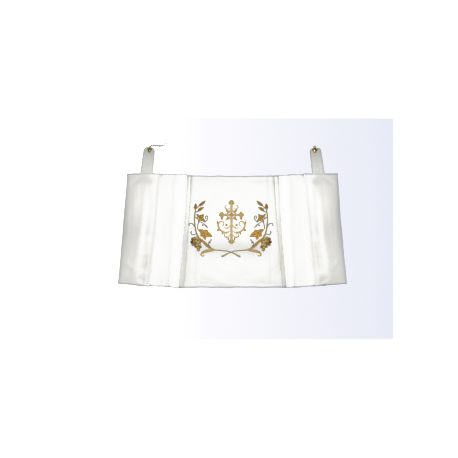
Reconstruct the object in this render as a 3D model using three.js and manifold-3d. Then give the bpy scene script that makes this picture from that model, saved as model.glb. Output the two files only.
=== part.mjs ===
// A humeral veil: one long hemmed length of satin, with two sewn tabs and a chain clasp.
// It lies face up on a surface at z = 0. Its middle is flat and each end is laid in knife pleats,
// every pleat on top of the one nearer the middle. The outermost panel turns under at its outer
// fold and runs back along the surface beneath the whole stack.
// Millimetres. X runs along the veil, Y towards the neck hem and the tabs, Z up.
// The origin is the middle of the flat panel, on its underside.

import * as THREE from 'three';
import { mergeVertices } from 'three/addons/utils/BufferGeometryUtils.js';
import Module from 'manifold-3d';

const wasm = await Module();
wasm.setup();

// Cloth sizes
const CLOTH_THICKNESS = 1.4;
const LAYER_PITCH = 2.1;
// A layer stays level this far past a fold under it, then comes down over the drape length
const FOLD_CLEARANCE = 3;
const DRAPE_LENGTH = 20;
const DRAPE_STEPS = [0, 0.3, 0.7, 1];
const TURN_STEPS = 3;
const OUTER_TURN_STEPS = 5;

// Outer panel: places across it where its loose roll is shaped, and the lift of its hems, which
// leaves room for the roots of the tabs
const ROLL_STEPS = [0.18, 0.4, 0.62, 0.82, 0.94];
const HEM_LIFT = 1.6;
const HEM_LIFT_REACH = 0.12;

// Folds of each end. reach is the distance from the middle of the veil, at the neck hem (Top) and
// at the lower hem (Bottom). bow is how far the fold curves back towards the middle halfway down.
// y is where the two hems lie at that fold. An edge is a fold that shows, a tuck is one under it.
const FOLD_COLUMNS = ['name', 'reachTop', 'reachBottom', 'bow', 'yTop', 'yBottom'];
const LEFT_FOLDS = readTable(FOLD_COLUMNS, [
  ['middle', 0, 0, 0, 275.5, -275.5],
  ['returnHem', 171, 185, 2, 268, -262],
  ['edge1', 208, 243, 4, 278, -277],
  ['edge2', 225, 267, 5, 285, -277],
  ['tuck1', 256, 290, 4, 280, -276],
  ['edge3', 282, 318, 4, 286, -272],
  ['tuck2', 292, 328, 4, 280, -270],
  ['tuck3', 335, 391, 5, 281, -268],
  ['edge4', 356, 412, 5, 289, -270],
  ['tuck4', 388, 466, 5, 287, -266],
  ['outer', 519, 564, 3, 288, -256],
]);
const RIGHT_FOLDS = readTable(FOLD_COLUMNS, [
  ['middle', 0, 0, 0, 275.5, -275.5],
  ['returnHem', 171, 186, 2, 268, -262],
  ['edge1', 208, 250, 3, 278, -276.5],
  ['edge2', 228, 267, 4, 281, -276.5],
  ['tuck1', 256, 284, 3, 277, -275],
  ['edge3', 282, 309.5, 3.5, 283, -272],
  ['tuck2', 292, 320, 3.5, 280, -270],
  ['tuck3', 333, 388, 4, 281, -268],
  ['edge4', 354, 408.5, 4, 286.5, -268],
  ['tuck4', 386, 462, 4, 283, -266],
  ['outer', 517, 562, 4, 288, -255],
]);

// Runs of cloth from the middle outwards. layer is the run's place in the stack, 0 the lowest.
const RUNS = readTable(['from', 'to', 'layer'], [
  ['middle', 'tuck1', 1],
  ['tuck1', 'edge1', 2],
  ['edge1', 'tuck2', 3],
  ['tuck2', 'edge2', 4],
  ['edge2', 'tuck3', 5],
  ['tuck3', 'edge3', 6],
  ['edge3', 'tuck4', 7],
  ['tuck4', 'edge4', 8],
  ['edge4', 'outer', 9],
  ['outer', 'returnHem', 0],
]);
const OUTER_PANEL_LAYER = 9;

// Sections along the width of the cloth, from the lower hem (0) to the neck hem (1).
// crest is how high the outer panel's loose roll stands, outer how thick its outer fold is.
const SECTION_COLUMNS = ['along', 'leftCrest', 'leftOuter', 'rightCrest', 'rightOuter'];
const SECTIONS = readTable(SECTION_COLUMNS, [
  [0, 0, 0, 0, 0],
  [0.08, 3.5, 1.2, 4, 1.4],
  [0.2, 9, 3, 10, 3.5],
  [0.5, 12.5, 4.5, 11.5, 4],
  [0.8, 10.5, 4, 11, 4],
  [0.92, 4, 1.5, 4.5, 1.5],
  [1, 0, 0, 0, 0],
]);

// Tabs. along is the distance from the neck hem, half the half width, lift the height of the
// underside. The root lies inside the outer panel and the rest comes down flat on the surface.
const TAB_THICKNESS = 1.6;
const TAB_CORNERS = 4;
const TAB_COLUMNS = ['along', 'half', 'lift'];
const LEFT_TAB = {
  baseX: -425.7,
  baseY: 288,
  lean: -6.8,
  rows: readTable(TAB_COLUMNS, [
    [-13, 30.8, 1.75],
    [2, 30.5, 1.75],
    [15, 30.2, 0],
    [65, 29, 0],
    [116, 27.3, 0],
    [125, 22.5, 0],
    [131, 14, 0],
  ]),
};
const RIGHT_TAB = {
  baseX: 425.4,
  baseY: 288,
  lean: 7.8,
  rows: readTable(TAB_COLUMNS, [
    [-13, 30.2, 1.75],
    [2, 30, 1.75],
    [15, 29.7, 0],
    [65, 28.4, 0],
    [113, 27.1, 0],
    [121, 24.6, 0],
    [125, 18.5, 0],
  ]),
};

// Brass clasp. Plates lie on the tabs, each with an eye that reaches past the tab's end.
const PIECE_GAP = 0.3;
const PLATE_THICKNESS = 1.4;
const PLATE_SEAT = TAB_THICKNESS + PIECE_GAP;
// half is the shield's half width. drop is how far its point lies below its middle, shoulder and
// eye how far its shoulders and the centre of its eye lie above it.
const PLATE_COLUMNS = ['x', 'y', 'lean', 'half', 'drop', 'shoulder', 'eye', 'eyeOuter', 'eyeHole'];
const [LEFT_PLATE, RIGHT_PLATE] = readTable(PLATE_COLUMNS, [
  [-410, 404, -7, 12, 14, 8, 17, 4.6, 2.6],
  [407.6, 403.5, 3, 15, 14, 8, 15.2, 6.3, 3.4],
]);
// Where the eye's ring leaves the neck, and where the shield's curves bend, as shares of its size
const NECK_ANGLE = Math.PI / 5;
const SIDE_BEND = { across: 0.75, down: 0.45 };
const SHOULDER_BEND = 0.5;
const SHOULDER_RISE = 1;
const PLATE_CURVE_STEPS = 7;

// Raised boss of a plate. across is a share of its radius, up a share of its height.
const BOSS_HEIGHT = 2.2;
const BOSS_SHARE = 0.5;
const BOSS_STRETCH = 1.15;
const BOSS_CORNERS = 16;
const BOSS_PROFILE = readTable(['across', 'up'], [
  [1, 0.14],
  [0.85, 0.55],
  [0.5, 0.88],
  [0, 1],
]);

const LINK_LENGTH = 12.8;
const LINK_WIDTH = 7.2;
const LINK_WIRE = 1.6;
const LINK_CORNERS = 16;
const WIRE_CORNERS = 6;
const FLAT_LINK_HEIGHT = 2.8;
const LINK_SLACK = 0.5;
// heading turns a link on the surface, roll turns it about its own length, both in degrees
const LINKS = readTable(['heading', 'roll'], [
  [32, 90],
  [12, 15],
  [-2, -65],
  [-8, 35],
  [-5, -50],
  [2, 20],
  [8, 90],
]);

// Hook. A turn is an arc of the wire about a centre, its angles in degrees.
const HOOK_WIRE = 1.8;
const HOOK_EYE_RADIUS = 2.9;
const HOOK_EYE_TURN = { start: 50, end: 300, step: 50 };
const HOOK_EYE_HEIGHT = 2.85;
const HOOK_SHANK = { x: 4.6, y: -1.4, descent: 0.4 };
const HOOK_BEND = { x: 13.5, y: 5.5 };
const HOOK_BEND_RADIUS = 5.2;
const HOOK_BEND_TURN = { start: 225, end: -30, step: -51 };
const HOOK_TIP_RADIUS = 1.3;
const HOOK_STEPS = 44;
const HOOK_CORNERS = 4;
const HOOK_TIP_CORNERS = { around: 10, down: 8 };
// The wire's middle runs this much higher than half its thickness, so that no bend dips below z = 0
const HOOK_REST_GAP = 0.1;
const HOOK_HEADING = 6;

const SATIN = { color: 0xfbfaf5, roughness: 0.55, metalness: 0 };
const TAB_CLOTH = { color: 0xc9c8c0, roughness: 0.7, metalness: 0 };
const BRASS = { color: 0xb48a2c, roughness: 0.3, metalness: 1 };

function readTable(columns, rows) {
  return rows.map((row) => Object.fromEntries(columns.map((column, i) => [column, row[i]])));
}

function mix(a, b, share) {
  return a + (b - a) * share;
}

function smoothStep(share) {
  const s = Math.min(Math.max(share, 0), 1);
  return s * s * (3 - 2 * s);
}

function geometryFrom(positions, triangles) {
  const geometry = new THREE.BufferGeometry();
  geometry.setAttribute('position', new THREE.Float32BufferAttribute(positions, 3));
  geometry.setIndex(triangles);
  geometry.computeVertexNormals();
  return geometry;
}

// Where each fold of one end lies in one section
function placeFolds(folds, along) {
  const placed = {};
  // 0 at both hems and 1 halfway between them
  const halfway = 4 * along * (1 - along);
  for (const fold of folds) {
    placed[fold.name] = {
      x: mix(fold.reachBottom, fold.reachTop, along) - fold.bow * halfway,
      y: mix(fold.yBottom, fold.yTop, along),
    };
  }
  return placed;
}

// Distances from the middle at which every layer is shaped, the same for all layers of a section,
// so that no layer can cut through its neighbour
function shapingPlaces(folds) {
  const places = Object.values(folds).map((fold) => fold.x);
  for (const step of DRAPE_STEPS) {
    const reach = FOLD_CLEARANCE + DRAPE_LENGTH * step;
    places.push(folds.returnHem.x - reach);
    for (const name of ['tuck1', 'tuck2', 'tuck3', 'tuck4']) {
      places.push(folds[name].x + reach);
    }
  }
  const rollStart = folds.tuck4.x + FOLD_CLEARANCE + DRAPE_LENGTH;
  for (const step of ROLL_STEPS) {
    places.push(mix(rollStart, folds.outer.x, step));
  }
  return places.sort((a, b) => a - b);
}

// Share of a layer's thickness that the layers above it are lifted by, at a distance x
function liftShare(run, folds, x) {
  const low = Math.min(folds[run.from].x, folds[run.to].x);
  const high = Math.max(folds[run.from].x, folds[run.to].x);
  const past = Math.max(low - x, x - high) - FOLD_CLEARANCE;
  return 1 - smoothStep(past / DRAPE_LENGTH);
}

// The outer panel stands loose of the surface in a soft roll
function rollHeight(folds, roll, x) {
  const start = folds.tuck4.x + FOLD_CLEARANCE;
  const across = (x - start) / (folds.outer.x - start);
  if (across <= 0) {
    return 0;
  }
  const lift = HEM_LIFT * smoothStep(across / HEM_LIFT_REACH);
  return lift + roll.crest * Math.sin(Math.PI * across) + roll.outer * across;
}

function layerHeight(run, folds, roll, x) {
  let height = CLOTH_THICKNESS / 2;
  for (const other of RUNS) {
    if (other.layer < run.layer) {
      height += LAYER_PITCH * liftShare(other, folds, x);
    }
  }
  if (run.layer === OUTER_PANEL_LAYER) {
    height += rollHeight(folds, roll, x);
  }
  return height;
}

// The middle line of one run, with the side of it that the cloth's face is on
function runPoints(run, folds, roll) {
  const from = folds[run.from];
  const to = folds[run.to];
  const outward = to.x > from.x;
  const low = Math.min(from.x, to.x);
  const high = Math.max(from.x, to.x);
  const places = shapingPlaces(folds).filter((x) => x >= low && x <= high);
  if (!outward) {
    places.reverse();
  }
  const faceSide = outward ? 1 : -1;
  return places.map((x) => {
    const y = mix(from.y, to.y, (x - from.x) / (to.x - from.x));
    const z = layerHeight(run, folds, roll, x);
    const half = faceSide * CLOTH_THICKNESS / 2;
    return { z, faceSide, face: [x, y, z + half], back: [x, y, z - half] };
  });
}

// The half round of a fold, between the last point of one run and the first of the next
function turnPoints(fold, end, start, bulge, steps) {
  const centre = (end.z + start.z) / 2;
  const rise = Math.sign(start.z - end.z);
  const half = end.faceSide * CLOTH_THICKNESS / 2;
  const faceRadius = Math.abs(end.z + half - centre);
  const backRadius = Math.abs(end.z - half - centre);
  const points = [];
  for (let step = 1; step < steps; step += 1) {
    const angle = rise * Math.PI * (step / steps - 0.5);
    const at = (radius) => [
      fold.x + bulge * radius * Math.cos(angle),
      fold.y,
      centre + radius * Math.sin(angle),
    ];
    points.push({ face: at(faceRadius), back: at(backRadius) });
  }
  return points;
}

// One end of the veil in one section, from the middle to its hidden hem
function endPoints(foldRows, along, roll) {
  const folds = placeFolds(foldRows, along);
  const points = [];
  let last = null;
  for (const run of RUNS) {
    const stretch = runPoints(run, folds, roll);
    if (last) {
      const bulge = folds[last.to].x > folds[last.from].x ? 1 : -1;
      const steps = last.to === 'outer' ? OUTER_TURN_STEPS : TURN_STEPS;
      points.push(...turnPoints(folds[run.from], points[points.length - 1], stretch[0], bulge, steps));
    }
    points.push(...stretch);
    last = run;
  }
  return points;
}

// The whole section, as a closed loop: along the face from the left end to the right, then back
function sectionLoop(section) {
  const leftRoll = { crest: section.leftCrest, outer: section.leftOuter };
  const rightRoll = { crest: section.rightCrest, outer: section.rightOuter };
  const left = endPoints(LEFT_FOLDS, section.along, leftRoll);
  const right = endPoints(RIGHT_FOLDS, section.along, rightRoll);
  const mirror = ([x, y, z]) => [-x, y, z];
  const whole = left
    .slice(1)
    .reverse()
    .map((point) => ({ face: mirror(point.face), back: mirror(point.back) }))
    .concat(right);
  const face = whole.map((point) => point.face);
  const back = whole.map((point) => point.back).reverse();
  return face.concat(back);
}

function veilGeometry() {
  const loops = SECTIONS.map(sectionLoop);
  const count = loops[0].length;
  const triangles = [];
  for (let s = 0; s < loops.length - 1; s += 1) {
    for (let i = 0; i < count; i += 1) {
      const next = (i + 1) % count;
      const a = s * count + i;
      const b = s * count + next;
      const c = (s + 1) * count + next;
      const d = (s + 1) * count + i;
      triangles.push(a, b, c, a, c, d);
    }
  }
  const end = (loops.length - 1) * count;
  for (let i = 0; i < count / 2 - 1; i += 1) {
    const face = i;
    const faceNext = i + 1;
    const back = count - 1 - i;
    const backNext = count - 2 - i;
    triangles.push(back, backNext, faceNext, back, faceNext, face);
    triangles.push(end + back, end + faceNext, end + backNext, end + back, end + face, end + faceNext);
  }
  return geometryFrom(loops.flat(2), triangles);
}

function tabGeometry(rows) {
  const positions = [];
  const triangles = [];
  for (const row of rows) {
    const top = row.lift + TAB_THICKNESS;
    positions.push(-row.half, row.along, row.lift, row.half, row.along, row.lift);
    positions.push(row.half, row.along, top, -row.half, row.along, top);
  }
  for (let r = 0; r < rows.length - 1; r += 1) {
    for (let i = 0; i < TAB_CORNERS; i += 1) {
      const next = (i + 1) % TAB_CORNERS;
      const a = r * TAB_CORNERS + i;
      const b = r * TAB_CORNERS + next;
      triangles.push(a, b + TAB_CORNERS, b, a, a + TAB_CORNERS, b + TAB_CORNERS);
    }
  }
  const end = (rows.length - 1) * TAB_CORNERS;
  triangles.push(0, 1, 2, 0, 2, 3, end, end + 2, end + 1, end, end + 3, end + 2);
  return geometryFrom(positions, triangles);
}

function toSolid(geometry) {
  const plain = geometry.clone();
  plain.deleteAttribute('normal');
  plain.deleteAttribute('uv');
  const merged = mergeVertices(plain);
  return new wasm.Manifold(new wasm.Mesh({
    numProp: 3,
    vertProperties: new Float32Array(merged.attributes.position.array),
    triVerts: new Uint32Array(merged.index.array),
  }));
}

function fromSolid(solid) {
  const mesh = solid.getMesh();
  return geometryFrom(Array.from(mesh.vertProperties), Array.from(mesh.triVerts));
}

// A shield with a ring at its head, its sides swelling and its shoulders hollow
function plateOutline(plate) {
  const { half, drop, shoulder, eye, eyeOuter, eyeHole } = plate;
  const neckX = eyeOuter * Math.cos(NECK_ANGLE);
  const neckY = eye - eyeOuter * Math.sin(NECK_ANGLE);
  const sideX = half * SIDE_BEND.across;
  const sideY = -drop * SIDE_BEND.down;
  const shoulderX = half * SHOULDER_BEND;
  const shoulderY = shoulder + SHOULDER_RISE;
  const shape = new THREE.Shape();
  shape.moveTo(0, -drop);
  shape.quadraticCurveTo(sideX, sideY, half, shoulder);
  shape.quadraticCurveTo(shoulderX, shoulderY, neckX, neckY);
  shape.absarc(0, eye, eyeOuter, -NECK_ANGLE, Math.PI + NECK_ANGLE, false);
  shape.quadraticCurveTo(-shoulderX, shoulderY, -half, shoulder);
  shape.quadraticCurveTo(-sideX, sideY, 0, -drop);
  const hole = new THREE.Path();
  hole.absarc(0, eye, eyeHole, 0, Math.PI * 2, true);
  shape.holes.push(hole);
  return shape;
}

function plateGeometry(plate) {
  const plain = new THREE.ExtrudeGeometry(plateOutline(plate), {
    depth: PLATE_THICKNESS,
    bevelEnabled: false,
    curveSegments: PLATE_CURVE_STEPS,
  });
  // The boss starts inside the plate, so that the two join into one solid
  const root = PLATE_THICKNESS / 2;
  const radius = plate.half * BOSS_SHARE;
  const profile = [new THREE.Vector2(0, root), new THREE.Vector2(radius, root)];
  for (const row of BOSS_PROFILE) {
    profile.push(new THREE.Vector2(radius * row.across, PLATE_THICKNESS + BOSS_HEIGHT * row.up));
  }
  const boss = new THREE.LatheGeometry(profile, BOSS_CORNERS);
  boss.rotateX(Math.PI / 2);
  boss.scale(1, BOSS_STRETCH, 1);
  return fromSolid(toSolid(plain).add(toSolid(boss)));
}

// A torus drawn out into an oval link, its length along X
function linkGeometry() {
  const radius = (LINK_WIDTH - LINK_WIRE) / 2;
  const geometry = new THREE.TorusGeometry(radius, LINK_WIRE / 2, WIRE_CORNERS, LINK_CORNERS);
  geometry.rotateZ(Math.PI / LINK_CORNERS);
  const stretch = (LINK_LENGTH - LINK_WIDTH) / 2;
  const position = geometry.attributes.position;
  for (let i = 0; i < position.count; i += 1) {
    position.setX(i, position.getX(i) + Math.sign(position.getX(i)) * stretch);
  }
  return geometry;
}

// Bent wire: an almost closed eye, a shank that comes down to the surface, and an open bend
function hookGeometry() {
  const points = [];
  const low = HOOK_WIRE / 2 + HOOK_REST_GAP;
  const addTurn = (centre, radius, turn, z) => {
    const count = Math.round((turn.end - turn.start) / turn.step);
    for (let i = 0; i <= count; i += 1) {
      const angle = THREE.MathUtils.degToRad(turn.start + i * turn.step);
      const x = centre.x + radius * Math.cos(angle);
      points.push(new THREE.Vector3(x, centre.y + radius * Math.sin(angle), z));
    }
  };
  addTurn({ x: 0, y: 0 }, HOOK_EYE_RADIUS, HOOK_EYE_TURN, HOOK_EYE_HEIGHT);
  const shankHeight = mix(HOOK_EYE_HEIGHT, low, HOOK_SHANK.descent);
  points.push(new THREE.Vector3(HOOK_SHANK.x, HOOK_SHANK.y, shankHeight));
  addTurn(HOOK_BEND, HOOK_BEND_RADIUS, HOOK_BEND_TURN, low);
  const tip = points[points.length - 1];
  const path = new THREE.CatmullRomCurve3(points, false, 'centripetal');
  const section = new THREE.Shape();
  section.absarc(0, 0, HOOK_WIRE / 2, 0, Math.PI * 2, false);
  const wire = new THREE.ExtrudeGeometry(section, {
    extrudePath: path,
    steps: HOOK_STEPS,
    curveSegments: HOOK_CORNERS,
  });
  const ball = new THREE.SphereGeometry(HOOK_TIP_RADIUS, HOOK_TIP_CORNERS.around, HOOK_TIP_CORNERS.down);
  ball.translate(tip.x, tip.y, HOOK_TIP_RADIUS);
  return fromSolid(toSolid(wire).add(toSolid(ball)));
}

function addPiece(group, name, geometry, material) {
  const mesh = new THREE.Mesh(geometry, new THREE.MeshStandardMaterial(material));
  mesh.name = name;
  group.add(mesh);
  return mesh;
}

function addTab(group, name, tab) {
  const mesh = addPiece(group, name, tabGeometry(tab.rows), TAB_CLOTH);
  mesh.position.set(tab.baseX, tab.baseY, 0);
  mesh.rotation.z = THREE.MathUtils.degToRad(tab.lean);
}

function addPlate(group, name, plate) {
  const mesh = addPiece(group, name, plateGeometry(plate), BRASS);
  mesh.position.set(plate.x, plate.y, PLATE_SEAT);
  mesh.rotation.z = THREE.MathUtils.degToRad(plate.lean);
}

// The chain runs from the left plate's eye, each link through the last, and ends in the hook
function addChain(group) {
  const barReach = (LINK_LENGTH - LINK_WIRE) / 2;
  const lean = THREE.MathUtils.degToRad(LEFT_PLATE.lean);
  const along = (degrees) => {
    const angle = THREE.MathUtils.degToRad(degrees);
    return new THREE.Vector2(Math.cos(angle), Math.sin(angle));
  };
  const nearBar = new THREE.Vector2(
    LEFT_PLATE.x - LEFT_PLATE.eye * Math.sin(lean),
    LEFT_PLATE.y + LEFT_PLATE.eye * Math.cos(lean),
  );
  LINKS.forEach((link, i) => {
    const heading = along(link.heading);
    const centre = nearBar.clone().addScaledVector(heading, barReach);
    const roll = THREE.MathUtils.degToRad(link.roll);
    const standing = Math.abs(Math.sin(roll)) * (LINK_WIDTH - LINK_WIRE) / 2 + LINK_WIRE / 2;
    const mesh = addPiece(group, `chain_link_${i + 1}`, linkGeometry(), BRASS);
    mesh.position.set(centre.x, centre.y, Math.max(standing, FLAT_LINK_HEIGHT));
    mesh.rotation.set(roll, 0, THREE.MathUtils.degToRad(link.heading), 'ZYX');
    const slack = LINK_WIRE + LINK_SLACK;
    nearBar.addScaledVector(heading, 2 * barReach - slack);
  });
  const lastHeading = along(LINKS[LINKS.length - 1].heading);
  const eyeCentre = nearBar.clone().addScaledVector(lastHeading, HOOK_EYE_RADIUS);
  const hook = addPiece(group, 'clasp_hook', hookGeometry(), BRASS);
  hook.position.set(eyeCentre.x, eyeCentre.y, 0);
  hook.rotation.z = THREE.MathUtils.degToRad(HOOK_HEADING);
}

const veil = new THREE.Group();
addPiece(veil, 'veil', veilGeometry(), SATIN);
addTab(veil, 'tab_left', LEFT_TAB);
addTab(veil, 'tab_right', RIGHT_TAB);
addPlate(veil, 'clasp_plate_left', LEFT_PLATE);
addPlate(veil, 'clasp_plate_right', RIGHT_PLATE);
addChain(veil);

export default veil;
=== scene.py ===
# Looks of the humeral veil: satin laid in knife pleats, gold embroidery, sewn tabs and brass clasp.
# Tables and shapes are in millimetres and become metres when a mesh is made.
import math
import random

import bpy
import bmesh
import numpy as np
from mathutils import Matrix, Vector


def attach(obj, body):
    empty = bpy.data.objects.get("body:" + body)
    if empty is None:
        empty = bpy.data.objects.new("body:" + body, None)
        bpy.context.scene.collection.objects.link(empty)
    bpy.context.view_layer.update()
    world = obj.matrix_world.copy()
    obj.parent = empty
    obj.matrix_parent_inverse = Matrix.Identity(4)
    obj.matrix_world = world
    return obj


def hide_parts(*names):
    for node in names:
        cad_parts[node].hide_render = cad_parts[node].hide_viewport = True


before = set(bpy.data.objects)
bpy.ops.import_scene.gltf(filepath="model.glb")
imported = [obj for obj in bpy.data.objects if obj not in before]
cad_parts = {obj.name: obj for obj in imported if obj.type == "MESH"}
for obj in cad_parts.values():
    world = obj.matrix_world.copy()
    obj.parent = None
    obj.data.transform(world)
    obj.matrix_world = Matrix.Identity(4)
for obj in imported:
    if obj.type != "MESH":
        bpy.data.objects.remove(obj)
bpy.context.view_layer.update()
METRES = 0.001
SEED = 20


def linear(red, green, blue):
    """A colour given as 0 to 255 on a screen, as linear light."""
    def one(value):
        share = value / 255
        return share / 12.92 if share <= 0.04045 else ((share + 0.055) / 1.055) ** 2.4
    return (one(red), one(green), one(blue))


# Light before and after the tones are set
TONES = (
    (0.0, 0.0), (0.3, 0.25), (0.54, 0.48), (0.62, 0.6), (0.68, 0.735), (0.72, 0.85), (0.75, 0.915),
    (0.78, 0.945), (0.82, 0.968), (0.88, 0.985), (1.0, 1.0),
)


def paint(red, green, blue):
    """The light, and on lit cloth the base colour, that the tones turn into a colour of 0 to 255."""
    before, after = zip(*TONES)
    return tuple(float(np.interp(value, after, before)) for value in linear(red, green, blue))


# Camera, light and stage
CAMERA_X = -17.3
CAMERA_Y = 14.1
CAMERA_HEIGHT = 3149.0
LENS = 50.0
SENSOR = 36.0
CAMERA_CLIP = (0.05, 50.0)
# Which of the view's curves sets all three colours
COMBINED_CURVE = 3
LIGHT_PLACE = (0, 60, 2500)
LIGHT_SIZE = 800.0
LIGHT_POWER = 50.5
WORLD_STRENGTH = 0.11
FLOOR_LEVEL = -0.2
FLOOR_HALF = 4000.0
FLOOR_GLOW = 1.0
# How much of the light that falls on them the table and the paper give back
TABLE_GREY = 0.03
PAPER_GREY = 0.004
# The paper's left, right, lower and upper edges, its soft edge, and its tone at the right
PAPER = (-310.0, 795.0, -531.0, 561.0)
PAPER_EDGE = 5.0
PAPER_LEFT = (250, 249.5, 254)
PAPER_RIGHT = (231, 233, 245)
# Share of the way across the paper where it has come down from white to its left tone
PAPER_FADE = 0.16
PAPER_STOPS = 7

# Cloth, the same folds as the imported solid
SHEET_HALF = 0.6
SOLID_HALF = 0.7
LAYER_PITCH = 2.1
FOLD_CLEARANCE = 3.0
# How far the cloth above bridges before it comes down, inside and outside of what it lies on
INNER_DRAPE = 18.0
OUTER_DRAPE = 60.0
TURN_STEPS = 5
OUTER_TURN_STEPS = 9
WIDTH_HALF = 275.5
OUTER_PANEL = 9

# Name, reach at the neck hem and at the lower hem, bow, and where it meets each hem
LEFT_FOLDS = (
    ("middle", 0, 0, 0, 275.5, -275.5),
    ("return_hem", 171, 185, 2, 268, -262),
    ("edge1", 208, 243, 4, 278, -277),
    ("edge2", 225, 267, 5, 285, -277),
    ("tuck1", 256, 290, 4, 280, -276),
    ("edge3", 282, 318, 4, 286, -272),
    ("tuck2", 292, 328, 4, 280, -270),
    ("tuck3", 335, 391, 5, 281, -268),
    ("edge4", 356, 412, 5, 289, -270),
    ("tuck4", 388, 466, 5, 287, -266),
    ("outer", 519, 564, 3, 288, -256),
)
RIGHT_FOLDS = (
    ("middle", 0, 0, 0, 275.5, -275.5),
    ("return_hem", 171, 186, 2, 268, -262),
    ("edge1", 208, 250, 3, 278, -276.5),
    ("edge2", 228, 267, 4, 281, -276.5),
    ("tuck1", 256, 284, 3, 277, -275),
    ("edge3", 282, 309.5, 3.5, 283, -272),
    ("tuck2", 292, 320, 3.5, 280, -270),
    ("tuck3", 333, 388, 4, 281, -268),
    ("edge4", 354, 408.5, 4, 286.5, -268),
    ("tuck4", 386, 462, 4, 283, -266),
    ("outer", 517, 562, 4, 288, -255),
)
# From, to, place in the stack, how far apart the columns of the mesh are, and for a run that shows
# the fold where it goes out of sight
RUNS = (
    ("middle", "tuck1", 1, 5.0, "edge1"),
    ("tuck1", "edge1", 2, 11.0, None),
    ("edge1", "tuck2", 3, 4.5, "edge2"),
    ("tuck2", "edge2", 4, 11.0, None),
    ("edge2", "tuck3", 5, 4.8, "edge3"),
    ("tuck3", "edge3", 6, 11.0, None),
    ("edge3", "tuck4", 7, 4.8, "edge4"),
    ("tuck4", "edge4", 8, 11.0, None),
    ("edge4", "outer", 9, 3.8, "outer"),
    ("outer", "return_hem", 0, 15.0, None),
)
# How much fuller than flat the fold at each edge that shows is, and how far in that reaches
EDGE_PUFF = {"edge1": 0.9, "edge2": 1.3, "edge3": 1.6, "edge4": 2.2}
PUFF_REACH = 15.0
# Small wander of the folds: how far, radians along the width, and share of the phase
FOLD_WANDER = ((0.7, 7.1, 1), (0.35, 17.3, 2.3))
PHASE_STEP = 1.7
# The two ends of the veil: side, folds, and the phase of their wander
ENDS = ((-1, LEFT_FOLDS, 0.4), (1, RIGHT_FOLDS, 2.1))
# Wrinkles: height, millimetres to a radian across and up, and start in radians
WRINKLES = ((0.55, 41, 67, 0.6), (0.35, 23, -38, 2.0))
# One that winds: height, millimetres to a radian up and along its winding, and how far it winds
WINDING_WRINKLE = (0.25, 29, 60, 2)
# How far in from the hems the wrinkles and the creases reach their full height
WRINKLE_EASE = 45.0
CREASE_EASE = 16.0
# The hems stray from straight: how far, millimetres to a radian, and shift of the neck hem
HEM_WANDER = ((0.7, 31, 3), (0.5, 13.7, 0))
HEM_WANDER_REACH = 60.0

# The outer panel: along, height of its crest, height of its outer fold, and the crest's place as a
# share of the way out
PANEL_SECTIONS = (
    (0, 3.5, 1.8, 0.62),
    (0.07, 7, 2.2, 0.6),
    (0.2, 9.5, 2.6, 0.56),
    (0.5, 10.5, 2.8, 0.48),
    (0.8, 10, 2.8, 0.46),
    (0.93, 7, 2.2, 0.44),
    (1, 4, 1.8, 0.42),
)
PANEL_START = 0.05
PANEL_FALL = 2.0
# Shares of the panel over which its dents set in from the fold and fade at the outer fold
DENT_START = 0.1
DENT_END = 0.12
# Soft shadow where each fold lies on the cloth under it: along and strength
EDGE_SHADE = {
    "edge1": ((0, 0.08), (0.1, 0.1), (0.35, 0.15), (0.6, 0.32), (1, 0.46)),
    "edge2": (
        (0, 0.9), (0.02, 0.14), (0.3, 0.16), (0.5, 0.18), (0.66, 0.4), (0.9, 0.4), (0.97, 0.5), (1, 0.75),
    ),
    "edge3": ((0, 0.9), (0.02, 0.12), (0.25, 0.12), (0.5, 0.18), (0.7, 0.12), (0.85, 0.06), (1, 0.2)),
    "edge4": ((0, 0.9), (0.02, 0.2), (0.1, 0.1), (0.5, 0.1), (0.7, 0.1), (0.96, 0.14), (1, 0.7)),
}
EDGE_SHADE_REACH = 9.5
# Painted shade on the turns of the folds and on cloth out of sight, and where the cloth starts beside each
# fold that shows
RIM_SHADE = 0.22
EDGE_RIM_SHADE = {"edge1": 0.06, "edge2": 0.1, "edge3": 0.06, "edge4": 0.02}
RIM_REACH = 4.5
# Painted shade: a dark line along the hems
HEM_SHADE = 0.75
HEM_SHADE_REACH = 3.3
# Painted shade inside the outer panel's outer fold
OUTER_SHADE = 0.2
OUTER_SHADE_REACH = 8.0
# Painted shade: the flat middle, and the narrow strips next to it, are a little greyer than the folds beside
# them
MIDDLE_SHADE = 0.23
STRIP_SHADE = ((0, 0.3), (0.2, 0.26), (0.56, 0.26), (0.68, 0.1), (0.8, 0.04), (1, 0.1))
# Painted shade of the outer panel at its outer fold, by its place along: along and strength
PANEL_SHADE = ((0, 0.05), (0.1, 0.05), (0.3, 0.1), (0.5, 0.18), (0.75, 0.2), (0.93, 0.17), (1, 0.13))
# Painted shade over the whole outer panel, by its place along
PANEL_WIDE_SHADE = ((0, 0.16), (0.2, 0.13), (0.5, 0.16), (0.75, 0.07), (0.88, 0.08), (1, 0.18))
PANEL_WIDE_SHADE_START = 0.07
PANEL_WIDE_SHADE_EASE = 0.14
# Where the neck hem lies on a tab, it is seen against cloth and has no painted dark line of shade
TAB_PLACES = ((-425.7, 33), (425.4, 33))
# The hem's painted shade line fades beside a tab over this distance, to this share of itself
TAB_LINE_EASE = 6.0
TAB_LINE_SHARE = 0.15
# Extra columns of the mesh next to a fold, and next to where the next fold covers the cloth
LEAD_COLUMNS = (0, 0.8, 2, 4, 7)
NEAR_COLUMNS = (-10, -7, -4.5, -2.6, -1.2, 0, 2.5)
# Where less than this shows, those columns lie closer together
SHORT_RUN = 20.0
# Shift of the weave on the back, so that it doesn't repeat the face's
BACK_SHIFT = 0.2

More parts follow.
